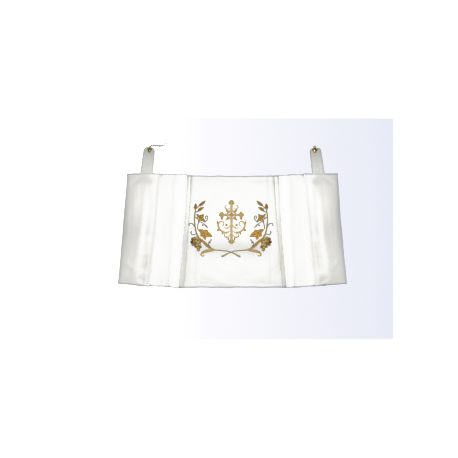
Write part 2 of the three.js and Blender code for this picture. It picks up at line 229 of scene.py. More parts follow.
# Rows across the width, as distances in from each hem, then evenly between. The stitch groove of
# the hem lies at HEM_STITCH.
HEM_ROWS = (0, 0.5, 1.6, 4, 8, 12.5, 15.6, 17.4, 19.2, 22.5, 27)
HEM_THINNING = (0.45, 0.85)
HEM_STITCH = 17.4
HEM_EXTRA = 0.25
HEM_GROOVE = 0.3
HEM_STEP = 2.5
HEM_GROOVE_HALF = 1.3
# Where a line of stitches starts and ends beside the folds, and its points
HEM_LINE_START = 1.0
HEM_LINE_END = 1.5
HEM_LINE_POINTS = 40
MIDDLE_ROWS = 66

# A crease starts at part of its height and eases over a share of its length at both ends
CREASE_START = 0.4
CREASE_FADE = 0.3
# Creases placed one by one: start and end, half width, height. Positive ones stand up.
CREASES = (
    (-160, -205, -30, -248, 12, 0.5),
    (-120, -252, 30, -262, 8, 0.45),
    (60, -235, 175, -215, 12, 0.5),
    (-150, 262, -20, 246, 12, 0.5),
    (-140, 205, -60, 232, 18, 0.6),
    (30, 250, 150, 225, 16, 0.6),
    (90, 215, 130, 150, 16, 0.5),
    (-80, -170, 10, -205, 24, 0.7),
    (40, -160, 120, -195, 22, 0.6),
    (-30, 180, 40, 200, 20, 0.5),
    (-302, 60, -309, -60, 1.8, 0.8),
    (302, 60, 307, -60, 1.8, 0.8),
    (-347, 100, -366, -65, 2.2, 0.8),
    (-366, -65, -384, -220, 2.2, 0.8),
    (346, 100, 364, -65, 2.2, 0.8),
    (364, -65, 381, -220, 2.2, 0.8),
    (-314, 268, -318, 215, 3.0, 0.9),
    (313, 268, 317, 215, 3.0, 0.9),
    (-244, 205, -262, -60, 2.6, 0.5),
    (246, 180, 262, -90, 2.6, 0.5),
    (-338, -228, -352, -262, 4.0, 1.2),
    (318, -232, 338, -258, 4.0, 1.2),
)
PANEL_CREASES = (
    (-402, 150, -409, 20, 15, -0.5),
    (-409, 20, -424, -110, 15, -0.7),
    (-424, -110, -450, -225, 17, -0.9),
    (401, 150, 408, 20, 15, -0.5),
    (408, 20, 424, -110, 15, -0.7),
    (424, -110, 450, -225, 17, -0.9),
    (-500, 236, -455, 262, 11, -1.2),
    (500, 238, 455, 262, 11, -1.2),
    (-470, -226, -424, -246, 12, -1.6),
    (472, -228, 430, -246, 12, -1.6),
    (-470, -112, -392, -106, 4, 0.6),
    (470, -118, 396, -112, 4, 0.6),
    (-530, -150, -480, -190, 9, 0.9),
    (526, -140, 486, -186, 9, 0.9),
    (-512, 120, -520, -60, 7, 0.6),
    (508, 130, 518, -70, 7, 0.6),
)
# Soft shadows painted where the cloth dips too little to show: line, half width, strength
SHADE_LINES = (
    (-200, -76, 190, -84, 46, 0.25),
    (-179, -40, -180, -262, 5, 0.09),
    (182, -60, 184, -262, 5, 0.09),
    (171, 290, 174, 90, 6, 0.12),
    (-222, 20, -240, -280, 24, 0.08),
    (222, 20, 246, -280, 24, 0.08),
    (-405, 262, -402, 92, 18, 0.25),
    (-402, 92, -414, -28, 19, 0.24),
    (-414, -28, -436, -190, 20, 0.2),
    (-440, -200, -458, -272, 24, 0.12),
    (405, 262, 402, 92, 18, 0.25),
    (402, 92, 414, -28, 19, 0.24),
    (414, -28, 436, -190, 20, 0.2),
    (440, -200, 458, -272, 24, 0.12),
)

# Tabs: the rows are distance from the neck hem and half width
TAB_THICKNESS = 1.6
TABS = {
    "left": {
        "base": (-425.7, 288.0),
        "lean": -6.8,
        "rows": ((-13, 30.8), (2, 30.5), (15, 30.2), (65, 29), (116, 27.3), (125, 22.5), (131, 14)),
        "creases": ((-20, 70, 26, 84, 3.5, -0.4), (-24, 100, 20, 92, 4, 0.4), (-6, 30, 22, 48, 5, 0.4)),
    },
    "right": {
        "base": (425.4, 288.0),
        "lean": 7.8,
        "rows": ((-13, 30.2), (2, 30), (15, 29.7), (65, 28.4), (113, 27.1), (121, 24.6), (125, 18.5)),
        "creases": ((-24, 86, 20, 78, 3.5, -0.4), (-18, 52, 24, 60, 5, 0.4), (-22, 104, 10, 98, 4, 0.3)),
    },
}
TAB_STITCH = 4.2
TAB_GROOVE = 0.22
TAB_GROOVE_HALF = 0.9
TAB_CROWN = 0.35
TAB_CROWN_REACH = 12.0
# Behind the neck hem the tab is raised, and from its root it eases down to the surface
TAB_ROOT_LIFT = 1.75
TAB_ROOT = 2.0
TAB_ROOT_EASE = 16.0
# Rows of its mesh, evenly up to the tip and then closer, and columns in from its edges
TAB_ROWS = 46
TAB_TIP = 10.0
TAB_TIP_ROWS = (8, 6.4, 5, 4, 3, 1.8, 0.8, 0.25, 0)
TAB_INSETS = (0, 0.12, 0.4, 0.8, 1.8, 3, 3.6, 4.2, 4.8, 6, 8)
TAB_COLUMNS = 13
# Where it is narrower than this on a side, the columns lie closer together
TAB_NARROW = 14.0
TAB_EDGE_FULLNESS = 0.12
# Its line of stitches: distance of its start, how its corners are cut, and its points
TAB_LINE_START = 3.0
TAB_LINE_CORNER = 2.0
TAB_SIDE_POINTS = 50
TAB_END_POINTS = 12
# Painted shade along the tab's edges: strength and reach
TAB_EDGE_SHADE = 0.4
TAB_EDGE_REACH = 3.0
# The tab turns greyer towards its tip: distance from the neck hem and strength
TAB_SHADE = ((0, 0.02), (50, 0.11), (75, 0.17), (108, 0.36), (131, 0.4))
STITCH_LENGTH = 2.6
STITCH_GAP = 0.9
STITCH_HALF = 0.24
STITCH_PROUD = 0.12
STITCH_START = 1.0
# Share of the way along a stitch and its size there
STITCH_RINGS = ((0, 0.35), (0.2, 0.85), (0.5, 1.0), (0.8, 0.85), (1, 0.35))
STITCH_CORNERS = 6
STITCH_TINT = 0.92
STITCH_TINT_SPREAD = 0.16
HEM_THREAD = (0.8, 0.79, 0.75)
TAB_THREAD = (0.5, 0.49, 0.44)

# Embroidery: places are distances out from the wreath's upright axis and up from the origin
VINE_AXIS = -7.4
CROSS_AXIS = -5.0
CURVE_STEPS = 24
STITCH_PITCH = 0.48
CORD_SPACING = 1.3
RIDGE_DIP = 0.8
SUNK = 0.12
# Roundness across a patch, height of its first and last stitch, and spread of the stitches' tints
DOME_POWER = 0.7
PATCH_END = 0.35
TINT_SPREAD = 0.16
# Share of a cord's width at its ends, and how soon it is full
CORD_END = 0.35
CORD_TAPER = 12
CORD_ROUNDNESS = 0.8
# Painted shade that darkens stitches at their ends: in strokes, cords, leaves and berries
STROKE_END_SHADE = 0.45
CORD_END_SHADE = 0.2
LEAF_END_SHADE = 0.3
BERRY_END_SHADE = 0.55
# How high the outlines of leaves and berries lie, and how far outside a berry
LEAF_LINE_RISE = 0.2
BERRY_LINE_RISE = 0.1
BERRY_LINE_OUT = 0.2
BERRY_LINE_POINTS = 11
# The last stitches of a berry lie this share of its radius out
BERRY_END = 0.995
# Tints of a leaf's two halves, one with painted light and one with painted shade, its vein, and the gap
# between the halves
LEAF_PAINTED_LIGHT = 1.06
LEAF_PAINTED_SHADE = 0.9
VEIN_TINT = 0.5
VEIN_WIDTH = 0.9
LEAF_GAP = 0.12
LEAF_ROUNDNESS = 0.8
LEAF_TIP_HALF = 0.05
# Share of a curve in how soon a leaf widens
LEAF_BULGE = 0.12
VEIN_RISE = 0.55
# Smaller values move a leaf's widest place towards its base
LOBE_FULLNESS = 0.62
BUD_FULLNESS = 0.8
LOBE_STEP = 0.12
LEAF_SLANT = 0.16
LEAF_HEIGHT = 1.25
OUTLINE_WIDTH = 1.15
BERRY_HEIGHT = 2.1
# Flat brown stitches that show between the grapes
GRAPE_BED = 1.9
BED_HEIGHT = 0.7
VINE_STEM = (
    (-6, -103), (15, -96), (46, -92.3), (75, -90), (104, -79), (122, -63), (139, -45),
    (155, -32), (166, -17), (172.5, 1), (177, 24), (180, 48), (180, 73), (176.5, 98), (176, 116),
)
VINE_STEM_WIDTHS = ((0, 3.4), (0.2, 3.8), (0.27, 5.6), (0.42, 6), (0.6, 6.2), (0.85, 5.2), (1, 4))
VINE_RUNNER = ((-6, -103), (15, -96), (46, -92.3), (78, -89.5))
VINE_UPRIGHT = ((160, -26), (168, -13), (173.5, 1), (178, 24), (181, 48), (181, 73), (177.5, 98), (177, 116))
VINE_CUT_STEM = ((-47, -124), (-31, -116), (-13, -106), (2, -100.5))
VINE_SWELLING = ((96, -84), (113, -72), (129, -57), (143, -43), (157, -31))
VINE_SWELLING_EDGES = (
    ((98, -79), (112, -66), (127, -51), (144, -38)),
    ((100, -86), (118, -75), (135, -58), (147, -44)),
)
VINE_SCROLL = (
    (80, -90.5), (95, -92), (112, -93.5), (128, -97.5), (142, -104), (148, -111), (146, -117.5),
    (138, -119), (133, -115.5),
)
VINE_SCROLL_WIDTHS = ((0, 4), (0.2, 10), (0.4, 13.5), (0.62, 9), (0.78, 5.6), (1, 4))
VINE_SCROLL_EDGE = ((88, -87.5), (108, -88), (127, -91.5), (142, -98.5), (151, -109))
VINE_TENDRILS = (
    ((178, 22), (186, 35), (196, 42), (205, 41), (208, 34), (202.5, 31)),
    ((167, -11.5), (179.5, -11.5), (189.5, -15), (195, -9.5), (198, -2), (194.5, 3)),
    ((197.5, -3), (196, 1.5), (193, 1)),
    ((166, 12), (164, 34), (159, 50)),
    ((131, 50), (121, 56), (115, 68), (118, 78), (126, 76), (125, 68), (120, 68)),
    ((101, -79), (108.5, -68), (111, -57), (106, -48.5), (100, -42.5), (97.5, -36)),
    ((107, -50), (103, -54.5), (101.5, -51)),
    ((179, 74), (172, 69), (165, 63), (168, 72)),
    ((176, 112), (168, 118), (158, 127)),
    ((177, 98), (168, 99), (160, 103)),
)
VINE_ARC = ((162, 45), (153, 50), (142, 45), (128.7, 34), (120, 25), (114, 20))
VINE_ARC_WIDTHS = ((0, 2.6), (0.5, 3.2), (0.8, 5.2), (1, 3))
TENDRIL_WIDTH = 3.4
EDGE_CORD = 1.3
VINE_DOT = (139.7, 32.6, 3.2)
GRAPE_STALKS = ((175, -24), (168, -26), (184, -28))
STALK_BEND = ((0, 0), (-5, 5), (-7, 10))
# Turn of the grapes' stitches in radians, and how much one lies above the next
GRAPE_TURN = 0.6
GRAPE_TURN_SPREAD = 0.5
GRAPE_STEP = 0.05
GOLD_THREAD = paint(212, 168, 82)
DEEP_GOLD = paint(186, 138, 56)
RICH_GOLD = paint(204, 152, 56)
GOLD_OLIVE = paint(166, 150, 94)
STEM_GREY = paint(144, 132, 96)
STEM_DARK = paint(116, 100, 56)
OLIVE_THREAD = paint(98, 90, 60)
BROWN_THREAD = paint(124, 88, 36)
BLACK_THREAD = paint(40, 26, 14)
PALE_GOLD = paint(224, 182, 112)
SOFT_GOLD = paint(204, 160, 88)
RED_GOLD = paint(166, 110, 40)
GREEN_GOLD = paint(158, 134, 60)
THREAD_TINTS = {
    "black": paint(44, 28, 14), "umber": paint(136, 100, 52), "red": paint(166, 106, 44),
    "deep": paint(190, 144, 70), "gold": paint(222, 184, 98), "yellow": paint(234, 206, 134),
    "green": paint(190, 166, 86),
}
# Stems in the order they are laid: path, widths, height, colour, level and slant
VINE_STROKES = (
    (VINE_CUT_STEM, ((0, 8.5), (0.1, 8.2), (0.6, 5.6), (1, 4)), 1.3, GOLD_OLIVE, 0, 1.5),
    (VINE_STEM, VINE_STEM_WIDTHS, 1.5, GOLD_THREAD, 0.1, 1.5),
    (VINE_RUNNER, ((0, 3.6), (1, 3.8)), 1.5, STEM_GREY, 0.2, 1.5),
    (VINE_UPRIGHT, ((0, 4), (0.3, 5), (0.8, 4.4), (1, 3)), 1.5, STEM_DARK, 0.25, 1.0),
    (VINE_SWELLING, ((0, 3), (0.25, 9), (0.6, 12.5), (0.85, 8), (1, 3)), 1.9, DEEP_GOLD, 0.3, 2),
)
VINE_BUDS = (
    ((177.5, 111), (174.5, 140), 14.5, 1.0, RED_GOLD),
    ((159, 128), (127, 154), 13.0, 1.5, paint(164, 124, 56)),
    ((164, 103), (134.5, 122), 13.5, -1.0, GREEN_GOLD),
)
SMALL_LEAF_BASE = (149, 69)
SMALL_LEAF_LOBES = (
    ((127, 46), 12, -1.5), ((163, 48), 10, 1.5), ((171, 89), 13, -1.5), ((136, 89), 15, 1.0),
    ((141, 54), 22, 0), ((152, 84), 18, 0),
)
BIG_LEAF_BASE = (134, -6)
BIG_LEAF_LOBES = (
    ((126, -39), 21, 1.0), ((151, -22), 19, 1.5), ((93, -24), 25, -1.5), ((116, 9), 22, 1.0),
    ((162, 12), 20, 1.5), ((138, 8), 26, 0),
)
GRAPES = (
    (189.6, -35.7, 5.8, "umber"), (180.3, -33.1, 5.8, "deep"), (166.9, -31.6, 5.8, "yellow"),
    (158.6, -39.9, 5.6, "green"), (193.3, -50.1, 6.0, "black"), (182.9, -46.9, 6.0, "deep"),
    (171.9, -45.6, 6.0, "gold"), (162.4, -51.0, 6.0, "yellow"), (152.6, -48.2, 5.4, "deep"),
    (187.6, -61.9, 6.0, "red"), (176.9, -58.9, 6.2, "umber"), (167.8, -65.0, 5.8, "gold"),
    (156.7, -62.4, 6.0, "yellow"), (174.2, -71.6, 5.4, "red"), (162.6, -77.4, 6.0, "gold"),
    (152.4, -74.6, 5.6, "red"), (160.4, -88.6, 5.4, "green"),
)
CROSS_LEVEL = 84.0
CROSS_HEAD = 142.0
CROSS_FOOT = -46.0
CROSS_ARM = 46.0
CROSS_RING = 21.0
CROSS_RING_POINTS = 17
CROSS_RING_HEIGHT = 1.3
CROSS_RING_WIDTHS = ((0, 4.5), (1, 4.5))
CROSS_SHAFT = ((0, CROSS_FOOT), (0, 40), (0, CROSS_HEAD))
CROSS_BAR = ((-CROSS_ARM, CROSS_LEVEL), (0, CROSS_LEVEL), (CROSS_ARM, CROSS_LEVEL))
CROSS_HEIGHT = 2.0
CROSS_SCROLL_HEIGHT = 1.5
CROSS_BOSS = 8.0
CROSS_SHAFT_WIDTHS = ((0, 15), (0.08, 10), (0.3, 9), (0.68, 10), (0.75, 9), (0.94, 10), (1, 15))
CROSS_ARM_WIDTHS = ((0, 15), (0.15, 10), (0.45, 9), (0.55, 9), (0.85, 10), (1, 15))
CROSS_SCROLLS = (
    (((4, 6), (18, -2), (38, -1), (56, 10), (65, 28), (61, 46), (48, 52), (38, 44), (40, 33), (48, 33)),
     ((0, 2), (0.2, 6.5), (0.5, 8.5), (0.75, 5), (1, 3))),
    (((5, 34), (14, 22), (26, 18), (36, 23)), ((0, 2), (0.5, 6), (1, 2))),
    (((4, -12), (17, -26), (30, -25), (35, -14), (28, -6), (21, -11)),
     ((0, 2), (0.4, 5.5), (0.8, 3.5), (1, 2.5))),
    (((7, 118), (20, 112), (31, 118), (31, 128), (23, 130)), ((0, 2), (0.5, 4.5), (1, 2.5))),
)
CROSS_LEAVES = (
    ((9, 93), (29, 112), 10, 0), ((9, 75), (29, 56), 10, 0), ((58, 12), (73, 4), 9, 1.0),
    ((64, 34), (71, 55), 9, -1.0), ((40, 0), (46, -14), 8, 1.0), ((16, -28), (13, -43), 7, 1.0),
)
CROSS_BERRIES = ((48, 66, 4.6), (25, 34, 4.2))
# Each end of the cross and its heading, and the turn, reach and radius of its three berries
CROSS_ENDS = (
    (0, CROSS_HEAD, 90), (0, CROSS_FOOT, -90), (CROSS_ARM, CROSS_LEVEL, 0),
    (-CROSS_ARM, CROSS_LEVEL, 180),
)
CROSS_TREFOIL = ((-78, 7.5), (78, 7.5), (0, 8.5))
TREFOIL_RADIUS = 6.2

# Brass clasp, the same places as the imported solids
PIECE_GAP = 0.3
PLATE_THICKNESS = 1.4
PLATE_SEAT = TAB_THICKNESS + PIECE_GAP
BOSS_HEIGHT = 2.2
PLATES = {
    "left": {"x": -410, "y": 404, "lean": -7, "half": 12, "eye": 17, "outer": 4.6, "hole": 2.6},
    "right": {"x": 407.6, "y": 403.5, "lean": 3, "half": 15, "eye": 15.2, "outer": 6.3, "hole": 3.4},
}
PLATE_DROP = 14.0
PLATE_SHOULDER = 8.0
# Share of the way out, height as a share of the plate's, grime, flute depth
PLATE_PROFILE = (
    (0.97, 0.0, 0.9, 0), (1.0, 0.25, 0.9, 0), (1.0, 0.7, 0.7, 0), (0.975, 0.95, 0.35, 0),
    (0.93, 1.04, 0.1, 0), (0.88, 0.98, 0.3, 0), (0.85, 0.72, 0.85, 0), (0.8, 0.66, 0.8, 0.04),
    (0.68, 0.72, 0.45, 0.09), (0.56, 0.72, 0.7, 0.05), (0.5, 0.7, 0.9, 0),
)
PLATE_FLUTES = 18
# Steps of the outline: from the point to the shoulder, to the neck of the eye, and across the neck
PLATE_STEPS = (18, 12, 5)
NECK_ANGLE = math.radians(36)
BOSS_SHARE = 0.5
BOSS_LENGTH = 1.15
BOSS_STEPS = 8
BOSS_LOBES = 8
BOSS_FOOT = 0.75 * PLATE_THICKNESS
BOSS_ROUNDNESS = 0.8
# Size of the flat spot on the boss, as a share of it, and grime at its foot
BOSS_TOP = 0.01
BOSS_GRIME = 0.75
BOSS_LOBE_HEIGHT = 0.12
EYE_STEPS = 40
EYE_SIDES = 12
EYE_GRIME = 0.8
LINK_LENGTH = 12.8
LINK_WIDTH = 7.2
LINK_WIRE = 1.6
LINK_FULLNESS = 0.2
FLAT_LINK_HEIGHT = 2.8
LINK_SLACK = 0.5
LINK_STEPS = 36
LINK_SIDES = 12
LINK_GRIME = (0.28, 0.38)
# Heading and roll of each link
LINKS = ((32, 90), (12, 15), (-2, -65), (-8, 35), (-5, -50), (2, 20), (8, 90))
HOOK_WIRE = 1.8
HOOK_EYE_RADIUS = 2.9
HOOK_BEND_RADIUS = 5.2
HOOK_BEND = (13.5, 5.5)
HOOK_TIP_RADIUS = 1.3
HOOK_EYE_HEIGHT = 2.85
HOOK_REST_GAP = 0.1
HOOK_HEADING = 6.0
HOOK_EYE_ANGLES = range(50, 301, 50)
HOOK_BEND_ANGLES = range(225, -31, -51)
# Where the wire leaves the hook's eye, and how far down it has come there
HOOK_NECK = (4.6, -1.4)
HOOK_NECK_DROP = 0.4
HOOK_STEPS = 96
HOOK_SIDES = 14
HOOK_CURVE_STEPS = 12
TIP_RINGS = 9
TIP_SIDES = 16
HOOK_GRIME = 0.2

# Materials: how often their noises repeat in a metre, and heights and pitches in metres
SLUB_SCALE = 420.0
RIPPLE_SCALE = 26.0
BLOTCH_SCALE = 7.0
FIBRE_SCALE = 1500.0
GLINT_SCALE = 240.0
TWIST_SCALE = 2600.0
GRIME_SCALE = 320.0
SCRATCH_SCALE = 1800.0
THREAD_RELIEF = 0.00006
STRAND_RELIEF = 0.00012
TWIST_RELIEF = 0.00008
SCRATCH_RELIEF = 0.00005
STRAND_PITCH = 0.0005
# The weft's pitch as a multiple of the warp's, how far both stray, and how dark the gaps are
WEFT_PITCH = 1.9
WEAVE_STRAY = 0.6
WEAVE_SHADE = 0.05
# Painted glints on the gold thread, and painted shade in the grooves between its strands
PAINTED_GLINT_GOLD = paint(236, 206, 134)
STRAND_GROOVE_SHADE = paint(112, 82, 34)
SEWING_DARK = (0.35, 0.34, 0.32)


def mix(a, b, share):
    return a + (b - a) * share


def smooth(share):
    s = np.clip(share, 0, 1)
    return s * s * (3 - 2 * s)


def distances(points):
    """How far along a line of points each of them is."""
    steps = np.linalg.norm(np.diff(points, axis=0), axis=1)
    return np.concatenate(([0], np.cumsum(steps)))


def between(places, rows, at):
    """Rows read at places between the places of the rows that are given."""
    return np.column_stack([np.interp(at, places, column) for column in np.transpose(rows)])


def table_value(table, at):
    """The second column of a small table, read between its rows at a value of the first."""
    places, values = np.transpose(table)[:2]
    return np.interp(at, places, values)


def turned(points, degrees):
    """Points turned about the upright axis."""
    a = math.radians(degrees)
    return np.asarray(points, float) @ (
        (math.cos(a), math.sin(a), 0), (-math.sin(a), math.cos(a), 0), (0, 0, 1))


def ring_faces(rings, count, base=0, closed=False):
    """Faces between each ring of points and the next, and from the last to the first if closed."""
    faces = []
    for ring in range(rings if closed else rings - 1):
        low = base + ring * count
        high = base + (ring + 1) % rings * count
        for i in range(count):
            n = (i + 1) % count
            faces.append((low + i, low + n, high + n, high + i))
    return faces


def cap(rings, count, base=0):
    """Faces that close the first and the last ring."""
    last = base + (rings - 1) * count
    return [tuple(range(base + count - 1, base - 1, -1)), tuple(range(last, last + count))]


def strip_faces(rings, count):
    """Faces of a closed sheet, whose rings run out on its face and come back on its underside."""
    faces = ring_faces(rings, count)
    end = (rings - 1) * count
    for i in range(count // 2 - 1):
        a, b, c, d = i, i + 1, count - 2 - i, count - 1 - i
        faces.append((d, c, b, a))
        faces.append((end + a, end + b, end + c, end + d))
    return faces


def mesh_piece(name, points, faces, uvs=None, colours=None, shade=None):
    """A new mesh object. Its points and uvs are given in millimetres, its colours are linear."""
    mesh = bpy.data.meshes.new(name)
    mesh.from_pydata((np.asarray(points, float) * METRES).tolist(), [], faces)
    if uvs is not None:
        layer = mesh.uv_layers.new(name="cloth")
        index = np.empty(len(mesh.loops), np.int32)
        mesh.loops.foreach_get("vertex_index", index)
        layer.data.foreach_set("uv", (np.asarray(uvs, np.float32)[index] * METRES).ravel())
    if colours is not None:
        rgba = np.ones((len(points), 4), np.float32)
        rgba[:, :3] = colours
        mesh.color_attributes.new("tint", "FLOAT_COLOR", "POINT").data.foreach_set("color", rgba.ravel())
    if shade is not None:
        mesh.attributes.new("shade", "FLOAT", "POINT").data.foreach_set(
            "value", np.asarray(shade, np.float32))
    mesh.polygons.foreach_set("use_smooth", [True] * len(mesh.polygons))
    mesh.validate()
    piece = bpy.data.objects.new(name, mesh)
    bpy.context.scene.collection.objects.link(piece)
    return piece


def outward(piece):
    """Turns the faces of each closed part of a mesh to the outside."""
    work = bmesh.new()
    work.from_mesh(piece.data)
    bmesh.ops.recalc_face_normals(work, faces=work.faces)
    work.to_mesh(piece.data)
    work.free()


# Materials

def new_material(name):
    material = bpy.data.materials.new(name)
    material.use_nodes = True
    tree = material.node_tree
    shader = next(n for n in tree.nodes if n.type == "BSDF_PRINCIPLED")
    return material, tree, shader


def set_inputs(tree, node, inputs):
    """Sets a node's inputs to values, or links them from sockets."""
    for key, value in inputs.items():
        if isinstance(value, bpy.types.NodeSocket):
            tree.links.new(value, node.inputs[key])
        else:
            node.inputs[key].default_value = value


def add_node(tree, kind, settings=None, inputs=None):
    """A new node with its settings and inputs."""
    made = tree.nodes.new(kind)
    for key, value in (settings or {}).items():
        setattr(made, key, value)
    set_inputs(tree, made, inputs or {})
    return made


def noise(tree, where, scale, detail=2.0, roughness=0.5):
    return add_node(
        tree, "ShaderNodeTexNoise", None,
        {"Vector": where, "Scale": scale, "Detail": detail, "Roughness": roughness}).outputs["Fac"]


def mapped(tree, value, low, high, to_low, to_high):
    made = add_node(
        tree, "ShaderNodeMapRange", None,
        {"Value": value, "From Min": low, "From Max": high, "To Min": to_low, "To Max": to_high})
    return made.outputs["Result"]


def maths(tree, operation, a, b):
    return add_node(tree, "ShaderNodeMath", {"operation": operation}, {0: a, 1: b}).outputs[0]


def blended(tree, factor, a, b):
    """A colour a share of the way from one to another. Each is a value or a socket."""
    a, b = ((*c, 1) if isinstance(c, tuple) else c for c in (a, b))
    return add_node(tree, "ShaderNodeMix", {"data_type": "RGBA"}, {0: factor, 6: a, 7: b}).outputs[2]


def bands(tree, where, axis, pitch, distortion=0.0):
    """Ridges of one pitch, in metres, across an axis."""
    return add_node(
        tree, "ShaderNodeTexWave", {"wave_type": "BANDS", "bands_direction": axis},
        {"Vector": where, "Scale": 2 * math.pi / (20 * pitch), "Distortion": distortion,
         "Detail": 0.0}).outputs["Fac"]


def bump(tree, height, distance, strength=1.0, under=None):
    inputs = {"Height": height, "Distance": distance, "Strength": strength}
    if under is not None:
        inputs["Normal"] = under
    return add_node(tree, "ShaderNodeBump", None, inputs).outputs["Normal"]


def cloth_material(name, colour, dark, warm, pitch, roughness, sheen, relief):
    """Woven cloth: threads and floats from its own coordinates, soft blotches, and darker edges and folds
    from painted shade in the mesh.
    """
    material, tree, shader = new_material(name)
    uv = add_node(tree, "ShaderNodeUVMap", {"uv_map": "cloth"}).outputs["UV"]
    place = add_node(tree, "ShaderNodeTexCoord").outputs["Object"]
    # The mesh's shade values are painted shade, mixed into the base colour towards the dark colour
    edge = add_node(tree, "ShaderNodeAttribute", {"attribute_name": "shade"}).outputs["Fac"]
    warp = bands(tree, uv, "X", pitch, WEAVE_STRAY)
    weft = bands(tree, uv, "Y", pitch * WEFT_PITCH, WEAVE_STRAY)
    weave = maths(tree, "MULTIPLY", warp, mapped(tree, weft, 0, 1, 0.35, 1))
    slub = noise(tree, uv, SLUB_SCALE, 3.0)
    threads = maths(tree, "ADD", maths(tree, "MULTIPLY", weave, 0.7), maths(tree, "MULTIPLY", slub, 0.5))
    ripples = bump(tree, noise(tree, place, RIPPLE_SCALE, 3.0, 0.45), relief)
    blotch = mapped(tree, noise(tree, place, BLOTCH_SCALE, 3.0), 0.35, 0.7, 0, 1)
    base = blended(tree, blotch, colour, warm)
    base = blended(tree, mapped(tree, weave, 0, 1, 0.0, WEAVE_SHADE), base, dark)
    set_inputs(tree, shader, {
        "Base Color": blended(tree, edge, base, dark),
        "Normal": bump(tree, threads, THREAD_RELIEF, 1.0, ripples),
        "Roughness": mapped(tree, slub, 0.3, 0.7, roughness - 0.05, roughness + 0.05),
        "Sheen Weight": sheen, "Sheen Roughness": 0.4, "IOR": 1.45,
    })
    return material


def thread_material(name):
    """Gold thread laid in satin stitch; its tints come from the mesh, with painted glints and painted shade
    in the grooves between its strands.
    """
    material, tree, shader = new_material(name)
    tint = add_node(tree, "ShaderNodeVertexColor", {"layer_name": "tint"}).outputs["Color"]
    uv = add_node(tree, "ShaderNodeUVMap", {"uv_map": "cloth"}).outputs["UV"]
    place = add_node(tree, "ShaderNodeTexCoord").outputs["Object"]
    strands = bands(tree, uv, "X", STRAND_PITCH, 1.0)
    fibre = noise(tree, place, FIBRE_SCALE)
    glint = noise(tree, place, GLINT_SCALE, 2.0, 0.6)
    # Painted glints: patches of the thread mixed towards a brighter gold
    painted_light_tint = blended(tree, mapped(tree, glint, 0.4, 0.7, 0, 0.22), tint, PAINTED_GLINT_GOLD)
    height = maths(tree, "ADD", maths(tree, "MULTIPLY", strands, 0.8), maths(tree, "MULTIPLY", fibre, 0.3))
    # The grooves between the strands get painted shade
    set_inputs(tree, shader, {
        "Base Color": blended(tree, mapped(tree, strands, 0, 0.45, 0.22, 0.0), painted_light_tint, STRAND_GROOVE_SHADE),
        "Normal": bump(tree, height, STRAND_RELIEF),
        "Roughness": mapped(tree, glint, 0.3, 0.7, 0.5, 0.36),
        "Metallic": 0.08, "Specular IOR Level": 0.15,
    })
    return material


def sewing_material(name):
    """Sewing thread, tinted by the mesh."""
    material, tree, shader = new_material(name)
    tint = add_node(tree, "ShaderNodeVertexColor", {"layer_name": "tint"}).outputs["Color"]
    place = add_node(tree, "ShaderNodeTexCoord").outputs["Object"]
    twist = noise(tree, place, TWIST_SCALE)
    set_inputs(tree, shader, {
        "Base Color": blended(tree, mapped(tree, twist, 0.3, 0.7, 0, 0.3), tint, SEWING_DARK),
        "Normal": bump(tree, twist, TWIST_RELIEF),
        "Roughness": 0.5,
    })
    return material


def brass_material(name, bright, dull_colour):
    """Worn brass: bright where it is rubbed, brown in its corners, from the mesh's shade."""
    material, tree, shader = new_material(name)
    place = add_node(tree, "ShaderNodeTexCoord").outputs["Object"]
    shade = add_node(tree, "ShaderNodeAttribute", {"attribute_name": "shade"}).outputs["Fac"]
    grime = mapped(tree, noise(tree, place, GRIME_SCALE, 4.0, 0.6), 0.35, 0.75, 0.0, 0.5)
    dull = maths(tree, "MINIMUM", maths(tree, "ADD", grime, shade), 1.0)
    set_inputs(tree, shader, {
        "Base Color": blended(tree, dull, bright, dull_colour),
        "Normal": bump(tree, noise(tree, place, SCRATCH_SCALE), SCRATCH_RELIEF),
        "Roughness": mapped(tree, dull, 0, 1, 0.24, 0.55),
        "Metallic": 1.0,
    })
    return material


SATIN = cloth_material(
    "ivory_satin", (0.925, 0.922, 0.908), (0.36, 0.36, 0.352), (0.915, 0.908, 0.885),
    0.0006, 0.42, 0.15, 0.0008)
TAB_CLOTH = cloth_material(
    "tab_twill", (0.81, 0.81, 0.79), (0.25, 0.25, 0.225), (0.79, 0.795, 0.76),
    0.0009, 0.6, 0.1, 0.0006)
GOLD = thread_material("gold_thread")
SEWING = sewing_material("sewing_thread")
BRASS = brass_material("worn_brass", linear(182, 158, 84), linear(84, 62, 18))
CHAIN_METAL = brass_material("chain_brass", linear(150, 122, 96), linear(56, 38, 26))


def give(piece, material):
    """Turns a piece's faces outward and gives it its material and its body."""
    outward(piece)
    piece.data.materials.append(material)
    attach(piece, "root")


# Folded cloth

def placed_folds(folds, along, wander_phase):
    """Where each fold of one end lies in one section, with the small wander of a real fold."""
    placed = {}
    for number, (name, top, bottom, bow, y_top, y_bottom) in enumerate(folds):
        x = mix(bottom, top, along) - bow * 4 * along * (1 - along)
        if name != "middle":
            phase = wander_phase + PHASE_STEP * number
            for reach, waves, share in FOLD_WANDER:
                x = x + reach * np.sin(waves * along + share * phase)
        placed[name] = (x, mix(y_bottom, y_top, along))
    return placed


def crease_height(creases, x, y):
    """Sum of the listed creases at points, each a soft ridge or trough along a line."""
    total = np.zeros_like(x)
    for x0, y0, x1, y1, width, height in creases:
        dx, dy = x1 - x0, y1 - y0
        length = math.hypot(dx, dy)
        share = ((x - x0) * dx + (y - y0) * dy) / length ** 2
        off = ((x - x0) * dy - (y - y0) * dx) / length
        fade = smooth(share / CREASE_FADE + CREASE_START)
        fade = fade * smooth((1 - share) / CREASE_FADE + CREASE_START)
        total += height * np.exp(-(off / width) ** 2) * fade
    return total


